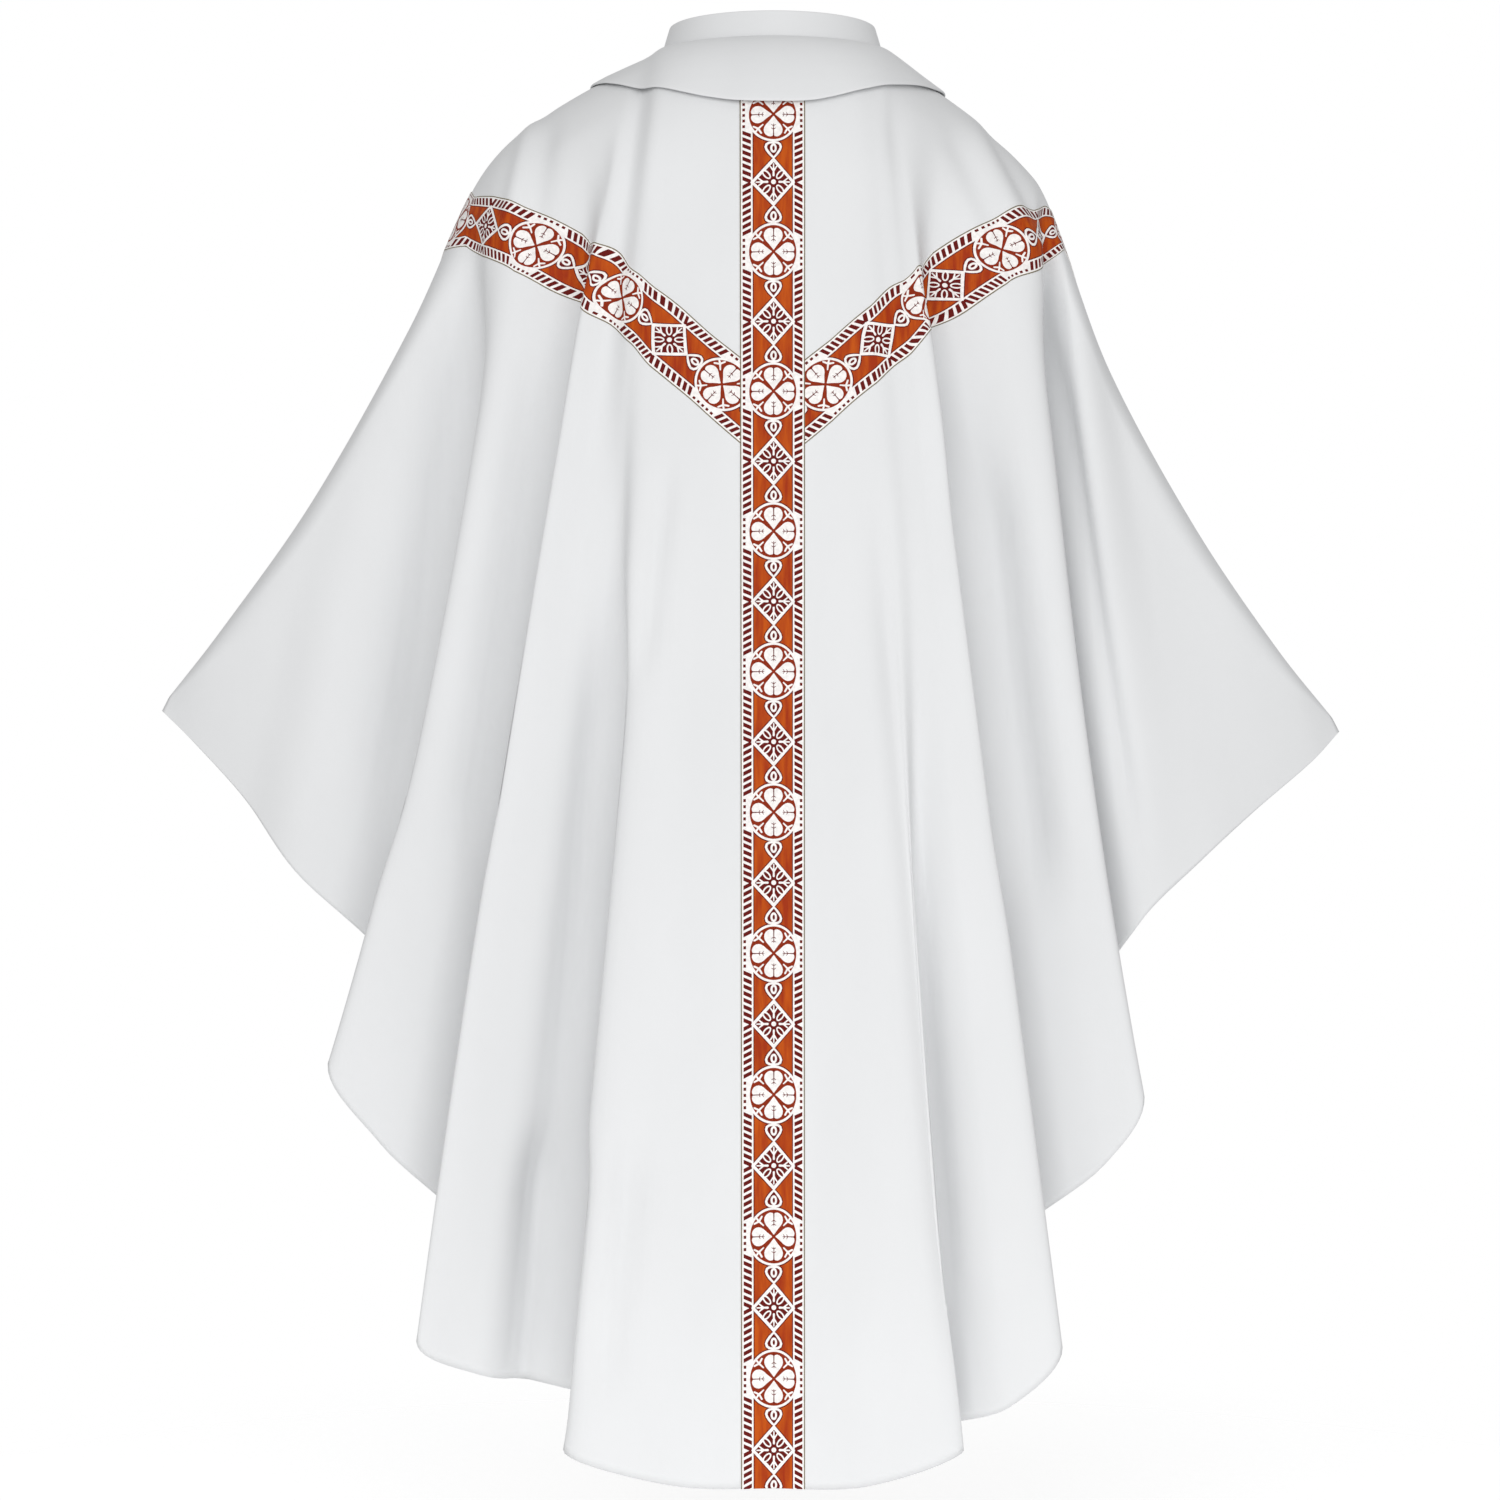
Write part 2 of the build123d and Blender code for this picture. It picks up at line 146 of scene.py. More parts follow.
# Small soft creases pressed into the cloth: (out, drop) at each end, width and height, negative inwards
BACK_CREASES = [
    ((-232, 90), (-246, 170), 9, 5.0),
    ((-214, 96), (-224, 190), 12, -4.5),
    ((-158, 130), (-166, 230), 10, -4.0),
    ((118, 110), (134, 235), 13, -5.0),
    ((176, 104), (212, 190), 14, -5.0),
    ((196, 96), (232, 176), 10, 4.0),
    ((214, 92), (246, 160), 8, -3.5),
    ((-300, 340), (-352, 650), 22, -15.0),
    ((-228, 400), (-270, 680), 20, -9.0),
    ((-160, 660), (-197, 1000), 20, -16.0),
    ((-205, 1080), (-222, 1260), 24, -34.0),
    ((-102, 445), (-116, 560), 10, -6.0),
    ((-132, 1060), (-150, 1200), 14, -9.0),
    ((110, 600), (151, 1066), 13, -9.0),
    ((200, 470), (231, 720), 24, -18.0),
    ((275, 360), (324, 655), 11, -9.0),
]

# Middle of a slanting band, from the column up to the shoulder: (out, drop)
BAND_PATH = [(0, 372), (29, 347), (95, 290), (146, 243), (204, 204), (254, 180), (300, 159), (360, 131)]


def length(name, default, description):
    """A length that can be set, in metres."""
    return FloatProperty(name=name, description=description, default=default, unit="LENGTH")


def colour(name, default, description):
    """A colour that can be set."""
    return FloatVectorProperty(name=name, description=description, default=default, subtype="COLOR")


class BodySizes(bpy.types.PropertyGroup):
    """Sizes of the body cloth"""

    back_length: length("Back length", -BACK_LOW.z, "Neck seam to hem at the centre back")
    left_reach: length("Left reach", -BACK_LOW.x, "Centre to the left tip")
    right_reach: length("Right reach", BACK_HIGH.x, "Centre to the right tip")
    back_depth: length("Back depth", -BACK_LOW.y, "How far the back stands out behind the neck")
    front_depth: length("Front depth", FRONT_HIGH.y, "How far the front stands out before the neck")
    cloth: length("Cloth", 0.0011, "Thickness of the cloth")
    hem_width: length("Hem width", 0.018, "Width of the turned hem")
    tape_width: length("Tape width", 0.014, "Width of the seam tapes")
    rows: IntProperty(name="Rows", description="Points down each drape line", default=151, min=31)
    between: IntProperty(name="Between", description="Steps between two drape lines", default=10, min=3)


class BandSizes(bpy.types.PropertyGroup):
    """Sizes of the woven bands"""

    width: length("Width", 0.058, "Width of the woven band")
    repeat: length("Repeat", 0.1279, "Length of one woven repeat")
    first: length("First circle", 0.1166, "Neck seam to the column's first circle")
    arm_first: length("First circle on the arms", 0.024, "Column edge to a slanting band's first circle")
    lift: length("Lift", 0.0009, "Face of the band above the cloth")


class CollarSizes(bpy.types.PropertyGroup):
    """Sizes of the collar"""

    height: length("Stand height", STAND_HIGH.z, "Height of the stand")
    lean: length("Lean", 0.009, "How far the stand draws in at its top")
    fall_back: length("Fall at the back", 0.107, "Length of the fall")
    fall_side: length("Fall at the sides", 0.07, "Length of the fall")
    lift: length("Edge lift", 0.0055, "Fall's edge above the body")


class Colours(bpy.types.PropertyGroup):
    """Colours of the cloth and threads"""

    cloth: colour("Cloth", (0.735, 0.742, 0.75), "White body cloth")
    white: colour("White thread", (0.93, 0.9, 0.88), "White of the bands")
    maroon: colour("Maroon thread", (0.13, 0.006, 0.004), "Maroon of the bands")
    rust: colour("Rust thread", (0.26, 0.024, 0.004), "Rust inside the circles")
    orange: colour("Orange thread", (0.5, 0.082, 0.003), "Ground of the bands")
    orange_deep: colour("Deep orange thread", (0.33, 0.03, 0.003), "Redder parts of the ground")
    edge: colour("Edge thread", (0.2, 0.17, 0.11), "Selvedge of the bands")


class StageSettings(bpy.types.PropertyGroup):
    """Floor, light and camera"""

    distance: length("Distance", 3.5, "Camera to the neck")
    height: length("Height", -0.665, "Camera height")
    aside: length("Aside", -0.0216, "Camera place across")
    lens: FloatProperty(name="Lens", description="Focal length in millimetres", default=87.1)
    floor: length("Floor", -1.52, "Floor height")
    floor_reach: length("Floor reach", 1.6, "Radius of the floor")
    sky: FloatProperty(name="Surround", description="Light from the white surround", default=0.51)
    key: FloatProperty(name="Main light", description="Power of the main soft light in watts", default=66.0)
    side: FloatProperty(name="Side light", description="Power of the side soft light in watts", default=34.0)


# Cloth shape


def unit(vectors):
    return vectors / np.maximum(np.linalg.norm(vectors, axis=-1, keepdims=True), 1e-9)


def turns_round(count):
    """Angles evenly round a circle."""
    return np.linspace(0, 2 * np.pi, count, endpoint=False)


def smooth(value):
    value = np.clip(value, 0.0, 1.0)
    return value * value * (3.0 - 2.0 * value)


def hermite(first, second, slope_a, slope_b, width, part):
    """A cubic between two values with their slopes."""
    return (
        (2 * part**3 - 3 * part**2 + 1) * first
        + (part**3 - 2 * part**2 + part) * width * slope_a
        + (3 * part**2 - 2 * part**3) * second
        + (part**3 - part**2) * width * slope_b
    )


def spline(knots, values, at):
    """Cubic curve through values at rising knots."""
    knots, values, at = np.asarray(knots, float), np.asarray(values, float), np.asarray(at, float)
    step = np.diff(knots)
    rise = np.diff(values) / step
    slope = np.concatenate(([rise[0]], (rise[:-1] + rise[1:]) / 2, [rise[-1]]))
    index = np.clip(np.searchsorted(knots, at) - 1, 0, len(step) - 1)
    part = (at - knots[index]) / step[index]
    return hermite(values[index], values[index + 1], slope[index], slope[index + 1], step[index], part)


def run_down(line, reach, points, scale, deep, samples=400):
    """Points (out, depth, drop) of one drape line, from the top edge to the hem."""
    out, hem, over, bow, _ = line
    last = points[-1][0]
    wide = reach / last
    out_top = NECK_SIDE * out / points[0][0]
    if out > points[0][0]:
        out_top = NECK_SIDE + (out - points[0][0]) * (reach - NECK_SIDE) / (last - points[0][0])
    hem_out, hem_depth, hem_drop = hem[0] * wide, hem[1] * deep, hem[2] * scale
    if out_top < NECK_SIDE:
        depth_top, top = NECK_BACK * np.sqrt(1 - (out_top / NECK_SIDE) ** 2), 0.0
    else:
        ends = np.array(points, float)
        across = NECK_SIDE + (ends[:, 0] - ends[0, 0]) * (reach - NECK_SIDE) / (last - ends[0, 0])
        depth_top, top = 0.0, float(spline(across, ends[:, 1], out_top))
    length = hem_drop - top
    turn = min(TURN_OF_RUN * over + TURN_OF_START * depth_top, LATEST_TURN * length)
    angle = np.linspace(0.0, np.pi / 2, samples // 2)
    fall = np.concatenate((turn * (1 - np.cos(angle)), np.linspace(turn, length, samples // 2)[1:]))
    part = fall / length
    reached = np.sqrt(np.clip(1 - (1 - np.minimum(fall / turn, 1.0)) ** 2, 0, 1))
    depth = depth_top + over * reached + (hem_depth - depth_top - over) * part
    away = out_top + (hem_out - out_top) * part + 4 * bow * wide * part * (1 - part)
    return np.stack((away, depth, top + fall), 1)


def tuck_in(own, ridge, tuck, scale):
    """Moves a line behind its ridge as the fold deepens."""
    _, overlap, behind, start, full, early = tuck
    share = smooth((own[:, 2] / scale - start) / (full - start)) ** early
    ridge_out = np.interp(own[:, 2], ridge[:, 2], ridge[:, 0])
    ridge_depth = np.interp(own[:, 2], ridge[:, 2], ridge[:, 1])
    moved = own.copy()
    moved[:, 0] = own[:, 0] * (1 - share) + (ridge_out - overlap) * share
    moved[:, 1] = own[:, 1] * (1 - share) + np.maximum(ridge_depth - behind, NEAREST_BEHIND) * share
    return moved


def lengths_of(points):
    return np.concatenate(([0.0], np.cumsum(np.linalg.norm(np.diff(points, axis=0), axis=1))))


def at_lengths(points, at):
    """Points of a line at distances from its start."""
    length = lengths_of(points)
    return np.stack([np.interp(at, length, points[:, axis]) for axis in range(points.shape[1])], 1)


def even(points, count):
    return at_lengths(points, np.linspace(0.0, lengths_of(points)[-1], count))


def side_lines(lines, reach, points, scale, deep, rows):
    runs = [run_down(line, reach, points, scale, deep) for line in lines]
    for index, line in enumerate(lines):
        if line[4]:
            runs[index] = tuck_in(runs[index], runs[index - line[4][0]], line[4], scale)
    return [even(run, rows) for run in runs]


def crease(grid, creases):
    """Presses small soft creases into a grid."""
    lean = normals(grid)
    push = np.zeros(grid.shape[:2])
    for start, end, width, height in creases:
        first, along = np.array(start, float), np.subtract(end, start).astype(float)
        away = np.stack((grid[:, :, 0], -grid[:, :, 2]), 2) - first
        part = np.clip((away @ along) / (along @ along), -CREASE_REACH, 1 + CREASE_REACH)
        far = np.linalg.norm(away - part[:, :, None] * along, axis=2)
        fade = smooth((part + CREASE_REACH) / CREASE_REACH)
        fade *= smooth((1 + CREASE_REACH - part) / CREASE_REACH)
        push += height * np.exp(-((far / width) ** 2)) * fade
    return grid + lean * push[:, :, None]


def body_grid(sizes, front=False):
    """Points of one panel's outer face [across][down], left tip to right tip, in millimetres."""
    rows, scale = sizes.rows, sizes.back_length / MM / REFERENCE_LENGTH
    deep = sizes.front_depth / sizes.back_depth if front else 1.0
    left = side_lines(LEFT_LINES, sizes.left_reach / MM, SHOULDER_LEFT, scale, deep, rows)
    right = side_lines(RIGHT_LINES, sizes.right_reach / MM, SHOULDER_RIGHT, scale, deep, rows)
    middle = even(run_down(CENTRE_LINE, sizes.left_reach / MM, SHOULDER_LEFT, scale, deep), rows)
    key = [run * (-1, -1, -1) for run in reversed(left)] + [middle * (1, -1, -1)]
    key = np.array(key + [run * (1, -1, -1) for run in right])
    chord = np.linalg.norm(np.diff(key, axis=0), axis=2) ** TURN_EVENNESS + 1e-6
    knots = np.concatenate((np.zeros((1, rows)), np.cumsum(chord, axis=0)))
    columns = []
    for index in range(len(key) - 1):
        before, after = max(index - 1, 0), min(index + 2, len(key) - 1)
        width = (knots[index + 1] - knots[index])[:, None]
        slope_a = (key[index + 1] - key[before]) / (knots[index + 1] - knots[before])[:, None]
        slope_b = (key[after] - key[index]) / (knots[after] - knots[index])[:, None]
        for step in range(sizes.between):
            columns.append(hermite(key[index], key[index + 1], slope_a, slope_b, width, step / sizes.between))
    columns.append(key[-1])
    grid = np.array(columns)
    grid[:, :, 1] = np.minimum(grid[:, :, 1], -SEAM_GAP)
    grid = crease(grid, BACK_CREASES)
    grid[:, 0, 1] = np.minimum(grid[:, 0, 1], -SEAM_GAP)
    return grid * (1, -1, 1) if front else grid


def normals(grid, middle=(0, 0, -400)):
    """Unit normals of a grid, pointing out of the garment."""
    cross = unit(np.cross(np.gradient(grid, axis=0), np.gradient(grid, axis=1)))
    return cross * np.sign(np.sum(cross * (grid - np.array(middle, float)), axis=2).sum())


class Cloth:
    """The two panels as one grid over the shoulders, on which trims are laid."""

    def __init__(self, sizes):
        self.back, self.front = body_grid(sizes), body_grid(sizes, True)
        self.seam = self.front.shape[1] - 1
        self.grid = np.concatenate((self.front[:, :0:-1], self.back), axis=1)
        self.middle = (len(LEFT_LINES)) * sizes.between
        self.lean = normals(self.grid)
        soft = self.grid
        for reach in (1, 2, 3, 4, 3, 2, 1):
            ends = np.pad(soft, ((reach, reach), (0, 0), (0, 0)), mode="reflect", reflect_type="odd")
            soft = (ends[: -2 * reach] + 2 * soft + ends[2 * reach :]) / 4
        self.soft_lean = normals(soft)
        self.along = np.gradient(soft, axis=1)
        self.across = np.gradient(soft, axis=0)

    def look(self, table, place):
        """A table's value at places (across, down) between its points."""
        high = np.array(self.grid.shape[:2]) - 1
        place = np.clip(place, 0, high - 1e-6)
        low = place.astype(int)
        part = place - low
        u, v = part[..., :1], part[..., 1:]
        i, j = low[..., 0], low[..., 1]
        first = table[i, j] * (1 - u) + table[i + 1, j] * u
        return first * (1 - v) + (table[i, j + 1] * (1 - u) + table[i + 1, j + 1] * u) * v

    def raised(self, place, lift):
        return self.look(self.grid, place) + unit(self.look(self.lean, place)) * lift

    def step(self, place, heading, size):
        """Moves places over the cloth in their headings, and turns the headings with the cloth."""
        u, v = self.look(self.across, place), self.look(self.along, place)
        uu, uv, vv = (u * u).sum(-1), (u * v).sum(-1), (v * v).sum(-1)
        hu, hv = (u * heading).sum(-1), (v * heading).sum(-1)
        share = np.maximum(uu * vv - uv**2, LEAST_SQUARE * uu * vv + 1e-6)
        place = place + np.stack(((hu * vv - hv * uv) / share, (hv * uu - hu * uv) / share), -1) * size
        lean = self.look(self.soft_lean, place)
        return place, unit(heading - (heading * lean).sum(-1, keepdims=True) * lean)

    def strip(self, centre, half, steps):
        """Places over a strip of the cloth [along][across], half wide each side of a centre line."""
        slip = np.gradient(centre, axis=0)
        along = self.look(self.across, centre) * slip[:, :1] + self.look(self.along, centre) * slip[:, 1:]
        out = unit(np.cross(self.look(self.soft_lean, centre), along))
        sides = []
        for sign in (1, -1):
            place, heading, rows = centre.copy(), out * sign, []
            for _ in range(steps):
                place, heading = self.step(place, heading, half / steps)
                rows.append(place.copy())
            sides.append(rows)
        places = np.stack(sides[1][::-1] + [centre] + sides[0], axis=1)
        ends = np.pad(places, ((EASE, EASE), (0, 0), (0, 0)), mode="reflect", reflect_type="odd")
        weights = np.exp(-((np.arange(-EASE, EASE + 1) / (EASE / EASE_WIDTHS)) ** 2))
        weights /= weights.sum()
        eased = sum(ends[k : k + len(places)] * weight for k, weight in enumerate(weights))
        share = (np.abs(np.arange(-steps, steps + 1)) / steps)[None, :, None] ** 0.5
        return places * (1 - share) + eased * share


CLOTHS = {}


def names_of(settings):
    return [name for name in settings.bl_rna.properties.keys() if name not in ("rna_type", "name")]


def the_cloth(context):
    """The draped cloth for the sizes that are set, made once for those sizes."""
    sizes = context.scene.chasuble_body
    wanted = tuple(getattr(sizes, name) for name in names_of(sizes))
    if wanted not in CLOTHS:
        CLOTHS.clear()
        CLOTHS[wanted] = Cloth(sizes)
    return CLOTHS[wanted]


# Mesh helpers


def add_piece(name, points, faces, materials, slot, node, paints=None, weld=0.0):
    """A smooth mesh piece that rides on the garment. Points are in millimetres."""
    mesh = bpy.data.meshes.new(name)
    mesh.from_pydata((np.asarray(points).reshape(-1, 3) * MM).tolist(), [], [list(face) for face in faces])
    for material in materials:
        mesh.materials.append(material)
    if paints is not None:
        mesh.polygons.foreach_set("material_index", np.asarray(paints, np.int32))
    work = bmesh.new()
    work.from_mesh(mesh)
    if weld:
        bmesh.ops.remove_doubles(work, verts=work.verts, dist=weld)
        bmesh.ops.dissolve_degenerate(work, edges=work.edges, dist=weld / 4)
    bmesh.ops.recalc_face_normals(work, faces=work.faces)
    work.to_mesh(mesh)
    work.free()
    mesh.polygons.foreach_set("use_smooth", [True] * len(mesh.polygons))
    piece = bpy.data.objects.new(name, mesh)
    bpy.context.scene.collection.objects.link(piece)
    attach(piece, BODY)
    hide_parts(node)
    return piece


def quads(wide, high, start=0):
    """Faces of a grid [wide][high]."""
    faces = []
    for i in range(wide - 1):
        for j in range(high - 1):
            a, b = start + i * high + j, start + (i + 1) * high + j
            faces.append((a, b, b + 1, a + 1))
    return faces


def thick_sheet(grid, lift, thick, lean=None):
    """Points and faces of a closed sheet, its outer face lifted off the grid."""
    lean = normals(grid) if lean is None else lean
    wide, high = grid.shape[:2]
    outer, inner = grid + lean * lift, grid + lean * (lift - thick)
    shift = wide * high
    faces = quads(wide, high) + [face[::-1] for face in quads(wide, high, shift)]
    rim = [i * high for i in range(wide)] + [(wide - 1) * high + j for j in range(1, high)]
    rim += [i * high + high - 1 for i in range(wide - 2, -1, -1)] + [j for j in range(high - 2, 0, -1)]
    for a, b in zip(rim, rim[1:] + rim[:1]):
        faces.append((a, a + shift, b + shift, b))
    return np.concatenate((outer.reshape(-1, 3), inner.reshape(-1, 3))), faces


# Materials


CLOTH_SHINE = 0.12
THREAD_HEIGHT = 0.0004
TONE_EDGES = (0.35, 0.65)
CLOTH_SHADE, THREAD_SHADE, TAPE_SHADE = 0.97, 0.86, 0.96
LINING = (0.62, 0.60, 0.56)
# Scale of the crossed threads, strength of their relief, scale of the slub
BODY_CLOTH, THREAD = (420.0, 0.25, 220.0), (500.0, 0.3, 500.0)


def new_material(name, rough, sheen=0.0, colour=None):
    material = bpy.data.materials.new(name)
    material.use_nodes = True
    nodes, links = material.node_tree.nodes, material.node_tree.links
    shader = nodes["Principled BSDF"]
    shader.inputs["Roughness"].default_value = rough
    shader.inputs["Sheen Weight"].default_value = sheen
    shader.inputs["Specular IOR Level"].default_value = CLOTH_SHINE
    if colour is not None:
        shader.inputs["Base Color"].default_value = (*colour, 1.0)
    return material, nodes, links, shader


def add_node(nodes, kind, settings=None, **values):
    """A shader node with its settings and the values of its inputs."""
    node = nodes.new(kind)
    for name, value in (settings or {}).items():
        setattr(node, name, value)
    for name, value in values.items():
        node.inputs[name].default_value = value
    return node


def weave_height(nodes, links, size, depth, slub_scale, shader):
    """Crossed threads and a little slub, as bump."""
    place = nodes.new("ShaderNodeTexCoord")
    both = add_node(nodes, "ShaderNodeMath", {"operation": "MULTIPLY"})
    for slot, axis in enumerate(("X", "Z")):
        wave = add_node(
            nodes, "ShaderNodeTexWave", {"bands_direction": axis}, Scale=size, Distortion=1.2, Detail=1.0
        )
        links.new(place.outputs["Object"], wave.inputs["Vector"])
        links.new(wave.outputs["Fac"], both.inputs[slot])
    slub = add_node(nodes, "ShaderNodeTexNoise", Scale=slub_scale, Detail=3.0)
    links.new(place.outputs["Object"], slub.inputs["Vector"])
    total = add_node(nodes, "ShaderNodeMath", {"operation": "ADD"})
    links.new(both.outputs[0], total.inputs[0])
    links.new(slub.outputs["Fac"], total.inputs[1])
    bump = add_node(nodes, "ShaderNodeBump", Strength=depth, Distance=THREAD_HEIGHT)
    links.new(total.outputs[0], bump.inputs["Height"])
    links.new(bump.outputs["Normal"], shader.inputs["Normal"])
    return place


def two_tone(nodes, links, place, shader, low, high, scale, stretch=(1, 1, 1)):
    """A soft change between two colours over the surface."""
    turn = add_node(nodes, "ShaderNodeMapping", Scale=stretch)
    links.new(place.outputs["Object"], turn.inputs["Vector"])
    noise = add_node(nodes, "ShaderNodeTexNoise", Scale=scale, Detail=4.0)
    links.new(turn.outputs["Vector"], noise.inputs["Vector"])
    ramp = nodes.new("ShaderNodeValToRGB")
    for element, position, colour in zip(ramp.color_ramp.elements, TONE_EDGES, (low, high)):
        element.position = position
        element.color = (*colour, 1.0)
    links.new(noise.outputs["Fac"], ramp.inputs["Fac"])
    links.new(ramp.outputs["Color"], shader.inputs["Base Color"])


def darker(colour, share):
    return tuple(channel * share for channel in colour)


def woven(name, tones, tone_scale, stretch=(1, 1, 1), rough=0.6, sheen=0.0, weave=THREAD):
    """A woven material between two tones, made once."""
    if name in bpy.data.materials:
        return bpy.data.materials[name]
    material, nodes, links, shader = new_material(name, rough, sheen)
    place = weave_height(nodes, links, *weave, shader)
    two_tone(nodes, links, place, shader, *tones, tone_scale, stretch)
    return material


def cloth_material(colours):
    tones = darker(colours.cloth, CLOTH_SHADE), tuple(colours.cloth)
    return woven("body cloth", tones, 9.0, (1, 1, 0.4), 0.78, 0.15, BODY_CLOTH)


def plain_thread(name, colour, rough=0.65):
    return woven(name, (darker(colour, THREAD_SHADE), tuple(colour)), 320.0, rough=rough)


def seam_tape(colours):
    return plain_thread("seam tape", darker(tuple(colours.cloth), TAPE_SHADE), 0.8)


def ground_thread(colours):
    return woven("orange ground", (tuple(colours.orange_deep), tuple(colours.orange)), 26.0, (6, 6, 0.8))


def band_materials(colours):
    """Edge, white, maroon, rust and orange, in the order that the band's paints are numbered."""
    return [
        plain_thread("band edge", tuple(colours.edge)),
        plain_thread("white thread", tuple(colours.white)),
        plain_thread("maroon thread", tuple(colours.maroon)),
        plain_thread("rust thread", tuple(colours.rust)),
        ground_thread(colours),
    ]


EDGE, WHITE, MAROON, RUST, ORANGE = range(5)

# The woven repeat

# In millimetres from the repeat's middle, across and along the band
HALF_BAND, HALF_REPEAT = 29.0, 63.5
RING_ACROSS, RING_ALONG, RING_THICK = 23.2, 26.2, 2.1
OUTLINE = 1.0  # dark line round the ring and the drops
SELVEDGE, FACE = 29.5, 28.0  # outer and inner edge of the dark selvedge
BORDER, GROUND = 18, 17.1  # inner edge of the white border, and of the dark line inside it
BARS_INNER, BARS_OUTER, BARS_LEAN, BARS_OFFSET = 19.4, 26.7, 3.6, 0.1
BARS_FIRST, BARS_APART, BARS_COUNT = 18.4, 6.1, 8
DOTS_INNER, DOTS_HALF = 24.4, 1.4
DOTS_ALONG = (-11.0, -5.5, 0.0, 5.5, 11.0)
DROP_MIDDLE = 32.4
ROUND_START = (1.57, 2.36, 3.14, 3.93, 4.71)  # turns round a stroke's two ends
ROUND_END = (-1.57, -0.79, 0, 0.79, 1.57)


def oval(across, along, at=(0, 0), count=56):
    turn = turns_round(count)
    return np.stack((across * np.cos(turn), along * np.sin(turn)), 1) + at


def box_shape(low, high, start, end):
    return np.array([(low, start), (high, start), (high, end), (low, end)], float)


def stroke(first, second, wide, tip=None):
    """A straight stroke with rounded ends, wide at its start and tip wide at its end."""
    first, second = np.array(first, float), np.array(second, float)
    tip = wide if tip is None else tip
    turn = np.arctan2(*(second - first)[::-1])
    outline = []
    for middle, size, angles in ((first, wide, ROUND_START), (second, tip, ROUND_END)):
        outline += [middle + size / 2 * np.array((np.cos(turn + a), np.sin(turn + a))) for a in angles]
    return np.array(outline)


def turned(shape, quarter):
    """A shape turned by quarters of a circle."""
    for _ in range(quarter):
        shape = np.stack((-shape[:, 1], shape[:, 0]), 1)
    return shape


def petal():
    """A heart-shaped petal along +Y from the middle to its two lobes."""
    side = [(0.3, 1.8), (2.0, 4.2), (4.1, 7.0), (6.5, 9.8), (7.9, 12.2), (8.5, 14.6), (8.2, 17.2)]
    side += [(7.0, 19.4), (5.0, 20.9), (3.2, 21.5), (1.4, 21.2), (0.4, 20.4)]
    side = np.array(side)
    return np.vstack((side, (side * (-1, 1))[::-1]))


def circle_shapes():
    """The ringed flower at the middle of the repeat."""
    shapes = [(oval(RING_ACROSS, RING_ALONG), WHITE)]
    shapes.append((oval(RING_ACROSS - RING_THICK, RING_ALONG - RING_THICK), RUST))
    for quarter in range(4):
        stretch = (0.9, 1.0) if quarter % 2 else (1.0, 1.0)
        shapes.append((turned(petal(), quarter) * stretch, WHITE))
        stem = [stroke((0, 9.4), (0, 22.0), 0.55, 1.1)]
        for height in (11.2, 14.6):
            stem += [stroke((0, height), (side * 1.9, height - 1.2), 0.8, 0.5) for side in (-1, 1)]
        shapes += [(turned(line, quarter) * stretch, MAROON) for line in stem]
    for along in (1, -1):
        for across in (1, -1):
            sprig = [stroke((9.2, 10.0), (13.6, 14.2), 1.2, 1.8)]
            sprig += [stroke((13.0, 13.8), tip, 1.8, 1.6) for tip in ((17.2, 11.6), (10.6, 18.0))]
            sprig.append(stroke((13.6, 14.2), (15.4, 16.8), 1.8, 1.5))
            shapes += [(line * (across, along), WHITE) for line in sprig]
    return shapes


def teardrop(grow):
    """The drop between ring and diamond, pointed away from the middle."""
    side = [(7.9, 31.3), (6.9, 34.4), (4.8, 37.6), (2.4, 40.3), (0, 42.4)]
    around = [(-x, y) for x, y in side[-2::-1]]
    around += [(-7.0, 28.2), (-4.4, 26.4), (0, 25.9), (4.4, 26.4), (7.0, 28.2)]
    shape = np.array(side + around)
    centre = np.array((0, 33.0))
    away = shape - centre
    return centre + away * (1 + grow / np.linalg.norm(away, axis=1, keepdims=True))


def diamond(across, along, at):
    return np.array([(across, at), (0, at + along), (-across, at), (0, at - along)], float)


def diamond_shapes(at):
    """The diamond with its little cross flower."""
    shapes = [(diamond(20.0, 22.5, at), WHITE), (diamond(16.6, 18.1, at), MAROON)]
    stretch = (1.0, 1.1)
    for quarter in range(4):
        bud = [stroke((0, 5.4), (0, 15.0), 1.9, 1.0)]
        bud += [stroke((0, 9.0), (side * 3.0, 12.9), 1.6, 1.1) for side in (-1, 1)]
        leaf_turn = np.pi / 4 + quarter * np.pi / 2
        heading = np.array((np.cos(leaf_turn), np.sin(leaf_turn)))
        side_way = np.array((-heading[1], heading[0]))
        middle = heading * 8.7
        for long, wide, paint in ((4.8, 2.7, WHITE), (3.5, 1.35, MAROON)):
            leaf = oval(1, 1, count=18)
            leaf = middle + leaf[:, :1] * heading * long + leaf[:, 1:] * side_way * wide
            shapes.append((leaf * stretch + (0, at), paint))
        shapes += [(turned(line, quarter) * stretch + (0, at), WHITE) for line in bud]
    shapes += [(oval(3.4, 3.4, (0, at), 20), MAROON), (oval(2.2, 2.2, (0, at), 20), WHITE)]
    return shapes


